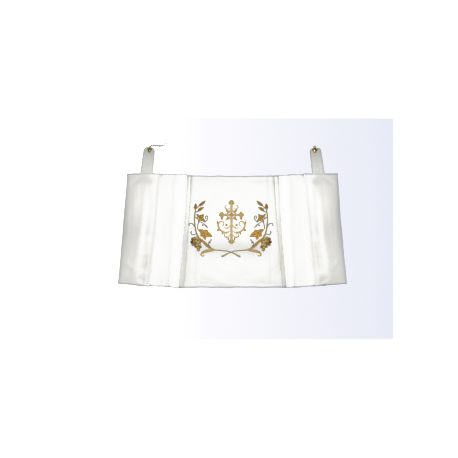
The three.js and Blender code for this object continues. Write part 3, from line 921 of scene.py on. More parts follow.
def cloth_lift(x, y):
    """How far wrinkles lift all the layers above the lowest, the same for each of them."""
    from_hem = WIDTH_HALF - np.abs(y)
    height, up, winding, depth = WINDING_WRINKLE
    waves = height * (1 + np.sin(y / up + depth * np.sin(x / winding)))
    for height, across, up, start in WRINKLES:
        waves = waves + height * (1 + np.sin(x / across + y / up + start))
    creases = crease_height(CREASES, x, y) * smooth(from_hem / CREASE_EASE)
    return np.maximum(smooth(from_hem / WRINKLE_EASE) * waves + creases, 0)


def lift_share(low, high, x):
    """Share of a layer's height that it gives the cloth above, which drapes over its edges."""
    inside = (low - x - FOLD_CLEARANCE) / INNER_DRAPE
    outside = (x - high - FOLD_CLEARANCE) / OUTER_DRAPE
    return 1 - smooth(np.maximum(inside, outside))


def edge_puff(start, distance):
    """Extra height of the cloth that shows next to the fold it starts at."""
    return EDGE_PUFF.get(start, 0.0) * (1 - smooth(distance / PUFF_REACH))


def hem_wander(x, along):
    """How far the hems stray from a straight line, fading away from them."""
    wave = sum(reach * np.sin(x / length + shift * (along > 0.5)) for reach, length, shift in HEM_WANDER)
    return wave * smooth(1 - hem_distance(along) / HEM_WANDER_REACH)


def hem_distance(along):
    return min(along, 1 - along) * 2 * WIDTH_HALF


def hem_relief(distance):
    """Extra height of the folded hem band, with a groove where it is stitched down."""
    band = HEM_EXTRA * (1 - smooth((distance - HEM_STITCH) / HEM_STEP))
    groove = HEM_GROOVE * np.exp(-((distance - HEM_STITCH) / HEM_GROOVE_HALF) ** 2)
    return band - groove


def panel_shape(along):
    """Crest, height at the outer fold, and place of the crest of the outer panel in one section."""
    table = np.array(PANEL_SECTIONS, float)
    return between(table[:, 0], table[:, 1:], along)[0]


def panel_rise(across, crest, outer, place):
    """How far the outer panel stands up: a pillow with its crest at a share of the way out."""
    up = crest * smooth((across - PANEL_START) / (place - PANEL_START))
    fall = np.clip((across - place) / (1 - place), 0, 1) ** PANEL_FALL
    return np.where(across < place, up, crest - (crest - outer) * fall)


def layer_height(layer, folds, panel, x, side, y):
    """Height of the middle of a layer: all that lies under it, its wrinkles and its pillow."""
    height = np.full_like(x, SOLID_HALF)
    for start, end, other, *_ in RUNS:
        if other < layer:
            low, high = sorted((folds[start][0], folds[end][0]))
            height += LAYER_PITCH * lift_share(low, high, x)
    if layer > 0:
        height += cloth_lift(side * x, y)
    if layer == OUTER_PANEL:
        start = folds["edge4"][0]
        across = np.clip((x - start) / (folds["outer"][0] - start), 0, 1)
        loose = smooth(across / DENT_START) * smooth((1 - across) / DENT_END)
        dents = crease_height(PANEL_CREASES, side * x, y) * loose
        height += np.maximum(panel_rise(across, *panel) + dents, 0)
    return height


def run_shade(start, shown, folds, along, x, side, y):
    """Painted shade on a run that shows: under the next fold, at its own fold, in its dips, and over the
    middle, the strip beside it and the outer panel.
    """
    shade = np.maximum(crease_height(SHADE_LINES, side * x, y), 0)
    if shown in EDGE_SHADE:
        gap = np.maximum(folds[shown][0] - x, 0)
        shade += table_value(EDGE_SHADE[shown], along) * np.exp(-(gap / EDGE_SHADE_REACH) ** 2)
    if shown == "outer":
        across = (x - folds[start][0]) / (folds[shown][0] - folds[start][0])
        shade += table_value(PANEL_SHADE, along) * across ** 2
        shade += table_value(PANEL_WIDE_SHADE, along) * smooth((across - PANEL_WIDE_SHADE_START) / PANEL_WIDE_SHADE_EASE)
        shade += OUTER_SHADE * np.exp(-((folds[shown][0] - x) / OUTER_SHADE_REACH) ** 2)
    if start in EDGE_SHADE:
        shade += EDGE_RIM_SHADE[start] * np.exp(-(x - folds[start][0]) / RIM_REACH)
    if start == "middle":
        shade += MIDDLE_SHADE
    if start == "edge1":
        shade += table_value(STRIP_SHADE, along)
    return shade


def run_counts(table):
    """How many even columns each run of an end has, before and after the next fold covers it."""
    reach = {name: (top + bottom) / 2 - bow for name, top, bottom, bow, _, _ in table}
    counts = []
    for start, end, _, spacing, shown in RUNS:
        if shown is None:
            steps = int(round(abs(reach[end] - reach[start]) / spacing))
            counts.append((max(3, steps + 1), 0))
            continue
        before = max(2, int(round((reach[shown] - reach[start]) / spacing)))
        after = max(1, int(round((reach[end] - reach[shown]) / spacing)))
        counts.append((before, after if shown != end else 0))
    return counts


def run_places(first, last, covered, counts):
    """Where the columns of a run lie, closer together next to folds."""
    if covered is None:
        return np.linspace(first, last, counts[0])
    size = min(1.0, (covered - first) / SHORT_RUN)
    lead = first + size * np.array(LEAD_COLUMNS)
    near = covered + size * np.array(NEAR_COLUMNS)
    before = np.linspace(lead[-1], near[0], counts[0] + 1)[1:-1]
    if counts[1] == 0:
        return np.concatenate((lead, before, near[:-1]))
    after = np.linspace(near[-1], last, counts[1] + 1)[1:]
    return np.concatenate((lead, before, near, after))


def end_points(side, table, phase, along, thin, counts):
    """One end of the veil in one section: centre line, half thickness, face side, shade."""
    folds = placed_folds(table, along, phase)
    panel = panel_shape(along)
    half = SHEET_HALF * thin
    relief = float(hem_relief(hem_distance(along))) * thin
    rows = []
    previous = None
    for (start, end, layer, _, shown), count in zip(RUNS, counts):
        x0, y0 = folds[start]
        x1, y1 = folds[end]
        x = run_places(x0, x1, None if shown is None else folds[shown][0], count)
        y = y0 + (y1 - y0) * (x - x0) / (x1 - x0)
        z = layer_height(layer, folds, panel, x, side, y)
        shade = np.full_like(x, RIM_SHADE)
        if shown is not None:
            z = z + edge_puff(start, x - x0)
            shade = run_shade(start, shown, folds, along, x, side, y)
        face = 1 if x1 > x0 else -1
        if previous is not None:
            last_z, bulge, last_shade = previous
            centre = (last_z + z[0]) / 2
            rise = 1 if z[0] > last_z else -1
            radius = abs(z[0] - last_z) / 2
            steps = OUTER_TURN_STEPS if start == "outer" else TURN_STEPS
            sign = -bulge * rise
            for step in range(1, steps):
                angle = rise * math.pi * (step / steps - 0.5)
                nx, nz = bulge * math.cos(angle), math.sin(angle)
                cx, cz = x0 + radius * nx, centre + radius * nz
                dark = mix(last_shade, shade[0], step / steps)
                rows.append((cx, y0, cz, sign * nx, sign * nz, half, 0.0, dark))
        extra = relief if shown is not None else 0.0
        rows.extend((*point, 0.0, face, half, extra, dark) for *point, dark in zip(x, y, z, shade))
        previous = (z[-1], face, shade[-1])
    return rows


def section_rows():
    """Places of the sections along the width, closer at the hems, and how thick the cloth is there."""
    spacing = (1 - 2 * HEM_ROWS[-1] / (2 * WIDTH_HALF)) / (MIDDLE_ROWS + 1)
    low = [d / (2 * WIDTH_HALF) for d in HEM_ROWS]
    middle = [low[-1] + spacing * (i + 1) for i in range(MIDDLE_ROWS)]
    alongs = low + middle + [1 - s for s in reversed(low)]
    thin = [1.0] * len(alongs)
    for i, share in enumerate(HEM_THINNING):
        thin[i] = thin[-1 - i] = share
    return list(zip(alongs, thin))


def hem_shade(x, along):
    """Painted shade: a dark line along the hems, but not where the neck hem lies on a tab."""
    shade = HEM_SHADE * np.exp(-(hem_distance(along) / HEM_SHADE_REACH) ** 2) * np.ones_like(x)
    if along > 0.5:
        for middle, reach in TAB_PLACES:
            beside = smooth((np.abs(x - middle) - reach) / TAB_LINE_EASE + 1)
            shade *= mix(TAB_LINE_SHARE, 1, beside)
    return shade


def make_veil():
    """The veil as one closed sheet, section after section along its width."""
    counts = [run_counts(table) for _, table, _ in ENDS]
    loops, uv_rows, shade_rows = [], [], []
    for along, thin in section_rows():
        left, right = (np.array(end_points(*end, along, thin, c)) for end, c in zip(ENDS, counts))
        left[:, [0, 3]] *= -1
        whole = np.vstack((left[:0:-1], right))
        length = distances(whole[:, [0, 2]])
        length -= length[len(left) - 1]
        whole[:, 1] += hem_wander(whole[:, 0], along)
        x, y, z, out, up, half, extra, shade = whole.T
        face = np.column_stack((x + out * half, y, z + up * (half + extra)))
        back = np.column_stack((x - out * half, y, z - up * half))
        loops.append(np.vstack((face, back[::-1])))
        uv = np.column_stack((length, y))
        uv_rows.append(np.vstack((uv, uv[::-1] + (BACK_SHIFT, 0))))
        # Painted shade of each run, and of the line along the hems
        dark = np.minimum(shade + hem_shade(x, along), 1)
        shade_rows.append(np.concatenate((dark, dark[::-1])))
    faces = strip_faces(len(loops), len(loops[0]))
    veil = mesh_piece("veil_cloth", np.vstack(loops), faces, np.vstack(uv_rows),
                      shade=np.concatenate(shade_rows))
    give(veil, SATIN)
    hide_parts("veil")
    return veil


# Tabs

def edge_round(distance, radius):
    """Share of full thickness at a distance in from a rounded edge."""
    inside = np.clip(np.asarray(distance, float) / radius, 0, 1)
    return np.sqrt(1 - (1 - inside) ** 2)


def tab_top(tab, across, along, half):
    """Height above the underside's level at points of a tab, and its dip under the stitching."""
    edge = np.minimum(half - np.abs(across), tab["rows"][-1][0] - along)
    crown = TAB_CROWN * smooth(edge / TAB_CROWN_REACH)
    groove = TAB_GROOVE * np.exp(-((edge - TAB_STITCH) / TAB_GROOVE_HALF) ** 2)
    return crown - groove + crease_height(tab["creases"], across, along)


def tab_lift(along):
    """Height of a tab's underside, which comes down from under the neck hem to the surface."""
    return TAB_ROOT_LIFT * (1 - smooth((along - TAB_ROOT) / TAB_ROOT_EASE))


def make_tab(side):
    """A stitched cloth tab with cut corners, as one closed sheet."""
    tab = TABS[side]
    start, end = tab["rows"][0][0], tab["rows"][-1][0]
    alongs = np.concatenate((
        np.linspace(start, end - TAB_TIP, TAB_ROWS), end - np.array(TAB_TIP_ROWS)))
    inner = np.linspace(-1, 1, TAB_COLUMNS)[1:-1]
    points, shade = [], []
    for along in alongs:
        half = table_value(tab["rows"], along)
        place = half - np.array(TAB_INSETS) * min(1.0, half / TAB_NARROW)
        across = np.concatenate((-place, inner * place[-1], place[::-1]))
        edge = np.minimum(half - np.abs(across), end - along)
        full = TAB_THICKNESS / 2 * np.maximum(edge_round(edge, TAB_THICKNESS / 2), TAB_EDGE_FULLNESS)
        middle = tab_lift(along) + TAB_THICKNESS / 2
        top = middle + full + tab_top(tab, across, along, half) * smooth(edge)
        y = np.full_like(across, along)
        points.append(np.column_stack((across, y, top)))
        points.append(np.column_stack((across, y, middle - full))[::-1])
        # Greyer towards its tip, and painted shade along its edges
        dark = table_value(TAB_SHADE, along) + TAB_EDGE_SHADE * np.exp(-(edge / TAB_EDGE_REACH) ** 2)
        shade.append(np.concatenate((dark, dark[::-1])))
    faces = strip_faces(len(alongs), len(shade[0]))
    points = np.vstack(points)
    flat = turned(points, tab["lean"]) + (*tab["base"], 0)
    piece = mesh_piece("tab_cloth_" + side, flat, faces, points[:, :2], shade=np.concatenate(shade))
    give(piece, TAB_CLOTH)
    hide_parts("tab_" + side)
    return piece


def stitch_points(start, end, up):
    """One laid stitch: a short rounded ridge from start to end, sunk at both ends."""
    ahead = (end - start) / np.linalg.norm(end - start)
    sideways = np.cross(up, ahead)
    rings = []
    for share, size in STITCH_RINGS:
        centre = start + (end - start) * share + up * (STITCH_PROUD * (size - 0.5))
        for k in range(STITCH_CORNERS):
            angle = 2 * math.pi * k / STITCH_CORNERS
            rings.append(centre + STITCH_HALF * size * (
                math.cos(angle) * sideways + math.sin(angle) * up))
    return rings


def make_stitches(name, runs, colour):
    """A running stitch along each line of points, all in one piece."""
    points, faces, colours = [], [], []
    draw = random.Random(SEED)
    rings = len(STITCH_RINGS)
    up = np.array((0, 0, 1.0))
    for line in runs:
        length = distances(line)
        at = STITCH_START
        while at + STITCH_LENGTH < length[-1]:
            start, end = between(length, line, (at, at + STITCH_LENGTH))
            base = len(points)
            points.extend(stitch_points(start, end, up))
            shade = STITCH_TINT + STITCH_TINT_SPREAD * draw.random()
            colours.extend([[min(1.0, c * shade) for c in colour]] * (rings * STITCH_CORNERS))
            faces += ring_faces(rings, STITCH_CORNERS, base) + cap(rings, STITCH_CORNERS, base)
            at += STITCH_LENGTH + STITCH_GAP
    piece = mesh_piece(name, points, faces, np.array(points)[:, :2], colours)
    give(piece, SEWING)
    return piece


def hem_lines():
    """Lines on the face of the cloth where its hems are stitched down, where they show."""
    above = SHEET_HALF + float(hem_relief(HEM_STITCH))
    lines = []
    for side, table, phase in ENDS:
        for along in (HEM_STITCH / (2 * WIDTH_HALF), 1 - HEM_STITCH / (2 * WIDTH_HALF)):
            folds = placed_folds(table, along, phase)
            panel = panel_shape(along)
            for start, end, layer, _, shown in RUNS:
                if shown is None:
                    continue
                x0, y0 = folds[start]
                x1, y1 = folds[end]
                x = np.linspace(x0 + HEM_LINE_START, folds[shown][0] - HEM_LINE_END, HEM_LINE_POINTS)
                y = y0 + (y1 - y0) * (x - x0) / (x1 - x0)
                z = layer_height(layer, folds, panel, x, side, y) + edge_puff(start, x - x0)
                y = y + hem_wander(side * x, along)
                lines.append(np.column_stack((side * x, y, z + above)))
    return lines


def tab_lines(side):
    """The line of stitching round the free edge of a tab."""
    tab = TABS[side]
    end = tab["rows"][-1][0] - TAB_STITCH
    up = np.linspace(TAB_LINE_START, end - TAB_LINE_START, TAB_SIDE_POINTS)
    reach = table_value(tab["rows"], up) - TAB_STITCH
    corner = reach[-1] - TAB_LINE_CORNER
    tip = np.column_stack((np.linspace(corner, -corner, TAB_END_POINTS), np.full(TAB_END_POINTS, end)))
    path = np.vstack((np.column_stack((reach, up)), tip, np.column_stack((-reach, up))[::-1]))
    across, along = path.T
    top = tab_top(tab, across, along, table_value(tab["rows"], along))
    line = np.column_stack((path, tab_lift(along) + TAB_THICKNESS + top))
    return [turned(line, tab["lean"]) + (*tab["base"], 0)]


# Embroidery

def smooth_path(points, spacing):
    """Points at an even spacing on a smooth curve through given points, and their distances."""
    p = np.array(points, float)
    p = np.vstack((2 * p[0] - p[1], p, 2 * p[-1] - p[-2]))
    share = np.linspace(0, 1, CURVE_STEPS, endpoint=False)[:, None]
    parts = []
    for a, b, c, d in zip(p, p[1:], p[2:], p[3:]):
        parts.append(0.5 * (2 * b + (c - a) * share + (2 * a - 5 * b + 4 * c - d) * share ** 2
                            + (3 * b - a - 3 * c + d) * share ** 3))
    dense = np.vstack(parts + [p[-2][None]])
    length = distances(dense)
    count = max(4, int(round(length[-1] / spacing)) + 1)
    at = np.linspace(0, length[-1], count)
    return between(length, dense, at), at


def normals_of(path):
    """Unit vectors to the left of a path at each of its points."""
    ahead = np.gradient(path, axis=0)
    ahead /= np.linalg.norm(ahead, axis=1)[:, None] + 1e-9
    return np.column_stack((-ahead[:, 1], ahead[:, 0]))


def circle(centre, radius, count):
    """Points round a circle, the last on the first."""
    angle = np.linspace(0, 2 * math.pi, count)
    return np.array(centre) + radius * np.column_stack((np.cos(angle), np.sin(angle)))


class Embroidery:
    """Raised stitching on the cloth. Places are (out, up) from an axis; side -1 mirrors them."""

    def __init__(self, axis, side):
        self.axis, self.side = axis, side
        self.points, self.faces, self.uvs, self.tints = [], [], [], []
        self.count = 0
        self.draw = random.Random(SEED + side)

    def patch(self, left, right, height, tint, level=0.0, ridged=True, dark=STROKE_END_SHADE, columns=6):
        """Stitches laid from each point of one curve to its partner on another.

        left, right: the two curves. level: how high its base lies. ridged: every other stitch is
        lower. dark: how much painted shade darkens the stitches at their ends.
        """
        width = np.linalg.norm(right - left, axis=1)
        full = np.sqrt(np.clip(width / max(width.max(), 1e-6), 0, 1))
        v = (1 - np.cos(np.pi * np.arange(columns + 1) / columns)) / 2
        dome = np.sin(np.pi * v) ** DOME_POWER
        length = distances((left + right) / 2)
        last = len(left) - 1
        for i in range(len(left)):
            ridge = 1.0 if i % 2 or not ridged else RIDGE_DIP
            end = PATCH_END if i in (0, last) else 1.0
            sheen = 1 + TINT_SPREAD * (self.draw.random() - 0.5)
            row = left[i] + (right[i] - left[i]) * v[:, None]
            rise = level + height * full[i] * ridge * end * dome
            rise[0] = rise[-1] = -SUNK
            self.points.append(np.column_stack((row, rise)))
            self.uvs.append(np.column_stack((np.full(columns + 1, length[i]), v * width[i])))
            # Painted shade darkens each stitch towards its ends
            shade = sheen * (1 - dark * np.abs(2 * v - 1) ** 3)
            self.tints.append(np.clip(np.outer(shade, tint), 0, 1))
        self.faces += ring_faces(len(left), columns + 1, self.count)
        self.faces += cap(len(left), columns + 1, self.count)
        self.count += len(left) * (columns + 1)

    def stroke(self, points, widths, height, tint, level=0.0, slant=0.0):
        """Satin stitch along a curve. widths are (share of the length, width) pairs."""
        path, at = smooth_path(points, STITCH_PITCH)
        side = normals_of(path)
        half = table_value(widths, at / at[-1])[:, None] / 2
        shift = int(round(slant / STITCH_PITCH))
        index = np.clip(np.arange(len(path)) + shift, 0, len(path) - 1)
        self.patch(path + side * half, (path - side * half)[index], height, tint, level)

    def cord(self, points, width, tint, level=0.0):
        """A thin couched cord, tapered at both ends."""
        path, at = smooth_path(points, CORD_SPACING)
        side = normals_of(path)
        share = at / at[-1]
        full = np.clip(np.minimum(share, 1 - share) * CORD_TAPER + CORD_END, 0, 1)
        half = (width / 2 * full)[:, None]
        self.patch(path + side * half, path - side * half, width * CORD_ROUNDNESS, tint, level,
                   ridged=False, dark=CORD_END_SHADE, columns=4)

    def leaf(self, base, tip, width, bend, tint, level, outline, fullness):
        """A leaf in two halves of slanted stitches that meet along its middle."""
        base, tip = np.array(base, float), np.array(tip, float)
        across = np.array((-(tip - base)[1], (tip - base)[0]))
        across /= np.linalg.norm(across)
        count = max(8, int(np.linalg.norm(tip - base) / STITCH_PITCH))
        share = np.linspace(0, 1, count + 1)[:, None]
        reach = mix(share[:, 0], np.sin(np.pi * share[:, 0] / 2), LEAF_BULGE)
        spread = np.sin(np.pi * reach ** fullness) ** LEAF_ROUNDNESS * width / 2
        spread[-1] = LEAF_TIP_HALF

        def rib_at(place):
            return base + (tip - base) * place + across * bend * 4 * place * (1 - place)

        rib = rib_at(share)
        slanted = np.clip(share - LEAF_SLANT * share * (1 - share) * 4, 0, 1)
        for sign in (1, -1):
            edge = rib + sign * across * spread[:, None]
            inner = rib_at(slanted) + sign * across * LEAF_GAP
            # One half of the leaf gets painted light, the other painted shade
            painted_light_tint = np.array(tint) * (LEAF_PAINTED_LIGHT if sign > 0 else LEAF_PAINTED_SHADE)
            self.patch(inner, edge, LEAF_HEIGHT, painted_light_tint, level, dark=LEAF_END_SHADE)
            if outline is not None:
                trim = edge[::max(1, count // 8)]
                trim = np.vstack((trim, edge[-1:])) if len(trim) > 1 else edge
                self.cord(trim, OUTLINE_WIDTH, outline, level + LEAF_LINE_RISE)
        self.cord(rib[::max(1, count // 5)], VEIN_WIDTH, np.array(tint) * VEIN_TINT,
                  level + LEAF_HEIGHT * VEIN_RISE)

    def vine_leaf(self, base, lobes, tint, outline):
        """A leaf of several lobes, each laid a little over the last."""
        for number, (tip, width, bend) in enumerate(lobes):
            self.leaf(base, tip, width, bend, tint, LOBE_STEP * number, outline, LOBE_FULLNESS)

    def berry(self, centre, radius, tint, outline, level=0.0, turn=0.0, height=BERRY_HEIGHT):
        """A round of satin stitch, with a dark cord round it if it has an outline."""
        count = int(2 * radius / STITCH_PITCH)
        along = np.linspace(-BERRY_END, BERRY_END, count)[:, None]
        half = np.sqrt(1 - along ** 2)
        c, s = math.cos(turn), math.sin(turn)
        forward, sideways = np.array((c, s)), np.array((-s, c))
        middle = np.array(centre) + radius * along * forward
        self.patch(middle + radius * half * sideways, middle - radius * half * sideways,
                   height, tint, level, dark=BERRY_END_SHADE)
        if outline is None:
            return
        ring = circle(centre, radius + BERRY_LINE_OUT, BERRY_LINE_POINTS)
        self.cord(ring, OUTLINE_WIDTH, outline, level + BERRY_LINE_RISE)

    def finish(self, name):
        """All the patches as one piece, laid on the cloth."""
        flat = np.vstack(self.points)
        flat[:, 0] = self.axis + self.side * flat[:, 0]
        flat[:, 2] += panel_top(flat[:, 0], flat[:, 1])
        piece = mesh_piece(name, flat, self.faces, np.vstack(self.uvs), np.vstack(self.tints))
        give(piece, GOLD)
        return piece


def panel_top(x, y):
    """Height of the face of the flat middle panel."""
    along = np.clip((y + WIDTH_HALF) / (2 * WIDTH_HALF), 0, 1)
    left, right = (placed_folds(table, along, phase)["return_hem"][0] for _, table, phase in ENDS)
    low = np.where(x < 0, left, right)
    return SOLID_HALF + SHEET_HALF + LAYER_PITCH * lift_share(low, np.inf, np.abs(x)) + cloth_lift(x, y)


def make_vine(side, name):
    """One vine spray: crossed stem, scroll leaf, grapes, vine leaves, buds and tendrils."""
    work = Embroidery(VINE_AXIS, side)
    olive, brown = OLIVE_THREAD, BROWN_THREAD
    for path in VINE_TENDRILS:
        work.cord(path, TENDRIL_WIDTH, olive)
    work.stroke(VINE_ARC, VINE_ARC_WIDTHS, 1.3, olive, slant=1.0)
    work.berry(VINE_DOT[:2], VINE_DOT[2], GREEN_GOLD, olive)
    for path, *details in VINE_STROKES:
        work.stroke(path, *details)
    for path in VINE_SWELLING_EDGES:
        work.cord(path, EDGE_CORD, brown, 0.3)
    work.stroke(VINE_SCROLL, VINE_SCROLL_WIDTHS, 1.9, GOLD_THREAD, 0.2, 2)
    work.cord(VINE_SCROLL_EDGE, 1.0, brown, 0.3)
    for base, tip, width, bend, tint in VINE_BUDS:
        work.leaf(base, tip, width, bend, tint, 0.1, brown, BUD_FULLNESS)
    work.vine_leaf(SMALL_LEAF_BASE, SMALL_LEAF_LOBES, DEEP_GOLD, brown)
    work.vine_leaf(BIG_LEAF_BASE, BIG_LEAF_LOBES, RICH_GOLD, brown)
    draw = random.Random(SEED)
    for out, up, radius, _ in GRAPES:
        work.berry((out, up), radius + GRAPE_BED, brown, None, height=BED_HEIGHT)
    for number, (out, up, radius, tint) in enumerate(GRAPES):
        turn = GRAPE_TURN + GRAPE_TURN_SPREAD * draw.random()
        work.berry((out, up), radius, THREAD_TINTS[tint], BLACK_THREAD if tint == "black" else brown,
                   GRAPE_STEP * (number % 5), turn)
    for out, up in GRAPE_STALKS:
        work.cord([(out + x, up + y) for x, y in STALK_BEND], EDGE_CORD, olive, 0.2)
    return work.finish(name)


def make_cross():
    """A plain floriated cross among scrolls, in the middle of the wreath."""
    work = Embroidery(CROSS_AXIS, 1)
    tint, deep, outline = PALE_GOLD, SOFT_GOLD, BROWN_THREAD
    for sign in (-1, 1):
        for path, widths in CROSS_SCROLLS:
            mirrored = [(sign * out, up) for out, up in path]
            work.stroke(mirrored, widths, CROSS_SCROLL_HEIGHT, tint, slant=1.0)
        for (bx, by), (tx, ty), width, bend in CROSS_LEAVES:
            work.leaf((sign * bx, by), (sign * tx, ty), width, sign * bend, deep, 0.05, None, BUD_FULLNESS)
        for out, up, radius in CROSS_BERRIES:
            work.berry((sign * out, up), radius, deep, outline, 0.1)
    ring = circle((0, CROSS_LEVEL), CROSS_RING, CROSS_RING_POINTS)
    work.stroke(ring, CROSS_RING_WIDTHS, CROSS_RING_HEIGHT, deep, 0.1)
    work.stroke(CROSS_SHAFT, CROSS_SHAFT_WIDTHS, CROSS_HEIGHT, tint, 0.3, slant=1.0)
    work.stroke(CROSS_BAR, CROSS_ARM_WIDTHS, CROSS_HEIGHT, tint, 0.4, slant=1.0)
    for x, y, heading in CROSS_ENDS:
        for turn, reach in CROSS_TREFOIL:
            a = math.radians(heading + turn)
            centre = (x + reach * math.cos(a), y + reach * math.sin(a))
            work.berry(centre, TREFOIL_RADIUS, tint, outline, 0.3, a)
    work.berry((0, CROSS_LEVEL), CROSS_BOSS, deep, outline, 0.9)
    return work.finish("embroidery_cross")


# Brass clasp

def plate_outline(plate):
    """Outline of the shield, from its point up one side to the neck of the eye and down again."""
    half = plate["half"]
    neck_x = plate["outer"] * math.cos(NECK_ANGLE)
    neck_y = plate["eye"] - plate["outer"] * math.sin(NECK_ANGLE)

    def bend(a, b, c, count):
        share = np.linspace(0, 1, count)[:, None]
        a, b, c = (np.array(p, float) for p in (a, b, c))
        return a * (1 - share) ** 2 + b * 2 * share * (1 - share) + c * share ** 2

    lower, upper, neck = PLATE_STEPS
    side = np.vstack((
        bend((0, -PLATE_DROP), (half * 0.75, -PLATE_DROP * 0.45), (half, PLATE_SHOULDER), lower),
        bend((half, PLATE_SHOULDER), (half * 0.5, PLATE_SHOULDER + 1), (neck_x, neck_y), upper)[1:],
        bend((neck_x, neck_y), (neck_x * 0.5, neck_y), (0, neck_y), neck)[1:-1],
    ))
    return np.vstack((side, [(0, neck_y)], side[:0:-1] * (-1, 1)))


def make_plate(side):
    """A shield plate with a raised rim, a fluted field, a domed boss and an eye."""
    plate = PLATES[side]
    outline = plate_outline(plate)
    count = len(outline)
    angle = np.arctan2(outline[:, 1], outline[:, 0])
    points, shade = [], []
    for share, height, dark, flute in PLATE_PROFILE:
        z = PLATE_THICKNESS * height + flute * np.cos(angle * PLATE_FLUTES)
        points.append(np.column_stack((outline * share, z)))
        shade.append(np.full(count, dark))
    boss = np.column_stack((np.cos(angle), BOSS_LENGTH * np.sin(angle))) * plate["half"] * BOSS_SHARE
    for step in range(BOSS_STEPS + 1):
        lean = math.pi / 2 * step / BOSS_STEPS
        lobes = BOSS_LOBE_HEIGHT * math.cos(lean) * np.cos(angle * BOSS_LOBES)
        rise = (PLATE_THICKNESS + BOSS_HEIGHT - BOSS_FOOT) * math.sin(lean) ** BOSS_ROUNDNESS
        points.append(np.column_stack((boss * max(math.cos(lean), BOSS_TOP), BOSS_FOOT + rise + lobes)))
        shade.append(np.full(count, BOSS_GRIME * max(0, 1 - step / 3)))
    rings = len(points)
    faces = ring_faces(rings, count) + cap(rings, count)
    faces += ring_faces(EYE_STEPS, EYE_SIDES, rings * count, closed=True)
    wire = (plate["outer"] - plate["hole"]) / 2
    radius = (plate["outer"] + plate["hole"]) / 2
    eye = []
    for i in range(EYE_STEPS):
        a = 2 * math.pi * i / EYE_STEPS
        for k in range(EYE_SIDES):
            b = 2 * math.pi * k / EYE_SIDES
            reach = radius + wire * math.cos(b)
            eye.append((reach * math.cos(a), plate["eye"] + reach * math.sin(a),
                        PLATE_THICKNESS / 2 * (1 + math.sin(b))))
    flat = np.vstack(points + [np.array(eye)])
    place = turned(flat, plate["lean"]) + (plate["x"], plate["y"], PLATE_SEAT)
    dark = np.concatenate(shade + [np.full(len(eye), EYE_GRIME)])
    piece = mesh_piece("plate_" + side, place, faces, shade=dark)
    give(piece, BRASS)
    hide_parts("clasp_plate_" + side)
    return piece


def tube(path, radius, about, closed=False):
    """Points and faces of a round wire along 3D points."""
    count = len(path)
    ahead = (np.roll(path, -1, 0) - np.roll(path, 1, 0)) if closed else np.gradient(path, axis=0)
    points = []
    for centre, t in zip(path, ahead):
        side = np.cross((0, 0, 1.0), t)
        side /= np.linalg.norm(side)
        up = np.cross(t / np.linalg.norm(t), side)
        for k in range(about):
            a = 2 * math.pi * k / about
            points.append(centre + radius * (math.cos(a) * side + math.sin(a) * up))
    faces = ring_faces(count, about, closed=closed)
    return points, faces if closed else faces + cap(count, about)


def make_chain():
    """Oval wire links, each through the last, and the bent wire hook at the end."""
    left = PLATES["left"]
    bar_reach = (LINK_LENGTH - LINK_WIRE) / 2
    near = (turned((0, left["eye"], 0), left["lean"]) + (left["x"], left["y"], 0))[:2]
    round_radius = (LINK_WIDTH - LINK_WIRE) / 2
    stretch = (LINK_LENGTH - LINK_WIDTH) / 2
    loop = []
    for step in range(LINK_STEPS):
        angle = 2 * math.pi * (step + 0.5) / LINK_STEPS
        loop.append((round_radius * math.cos(angle) + math.copysign(stretch, math.cos(angle)),
                     round_radius * math.sin(angle), 0))
    points, faces = tube(np.array(loop), LINK_WIRE / 2 + LINK_FULLNESS, LINK_SIDES, closed=True)
    for number, (heading, roll) in enumerate(LINKS):
        a, r = math.radians(heading), math.radians(roll)
        ahead = np.array((math.cos(a), math.sin(a)))
        standing = abs(math.sin(r)) * round_radius + LINK_WIRE / 2
        rolled = np.array(points) @ np.array(Matrix.Rotation(r, 3, "X")).T
        place = turned(rolled, heading) + (*(near + ahead * bar_reach), max(standing, FLAT_LINK_HEIGHT))
        shade = np.full(len(place), LINK_GRIME[number % 2])
        piece = mesh_piece(f"link_{number + 1}", place, faces, shade=shade)
        give(piece, CHAIN_METAL)
        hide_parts(f"chain_link_{number + 1}")
        near = near + ahead * (2 * bar_reach - LINK_WIRE - LINK_SLACK)
    make_hook(near + HOOK_EYE_RADIUS * ahead)


def make_hook(eye):
    """A wire bent to a ring at one end and an open hook with a ball tip at the other."""
    low = HOOK_WIRE / 2 + HOOK_REST_GAP
    path = []
    for a in np.radians(HOOK_EYE_ANGLES):
        path.append((HOOK_EYE_RADIUS * math.cos(a), HOOK_EYE_RADIUS * math.sin(a), HOOK_EYE_HEIGHT))
    path.append((*HOOK_NECK, mix(HOOK_EYE_HEIGHT, low, HOOK_NECK_DROP)))
    for a in np.radians(HOOK_BEND_ANGLES):
        path.append((HOOK_BEND[0] + HOOK_BEND_RADIUS * math.cos(a),
                     HOOK_BEND[1] + HOOK_BEND_RADIUS * math.sin(a), low))
    curve = centripetal(np.array(path), HOOK_STEPS)
    tip = curve[-1]
    points, faces = tube(curve, HOOK_WIRE / 2, HOOK_SIDES)
    faces += ring_faces(TIP_RINGS, TIP_SIDES, len(points)) + cap(TIP_RINGS, TIP_SIDES, len(points))
    for i in range(TIP_RINGS):
        lean = math.pi * (i + 0.5) / TIP_RINGS
        for k in range(TIP_SIDES):
            b = 2 * math.pi * k / TIP_SIDES
            points.append((tip[0] + HOOK_TIP_RADIUS * math.sin(lean) * math.cos(b),
                           tip[1] + HOOK_TIP_RADIUS * math.sin(lean) * math.sin(b),
                           HOOK_TIP_RADIUS * (1 - math.cos(lean))))
    place = turned(points, HOOK_HEADING) + (*eye, 0)
    piece = mesh_piece("hook", place, faces, shade=np.full(len(place), HOOK_GRIME))
    give(piece, CHAIN_METAL)
    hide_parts("clasp_hook")


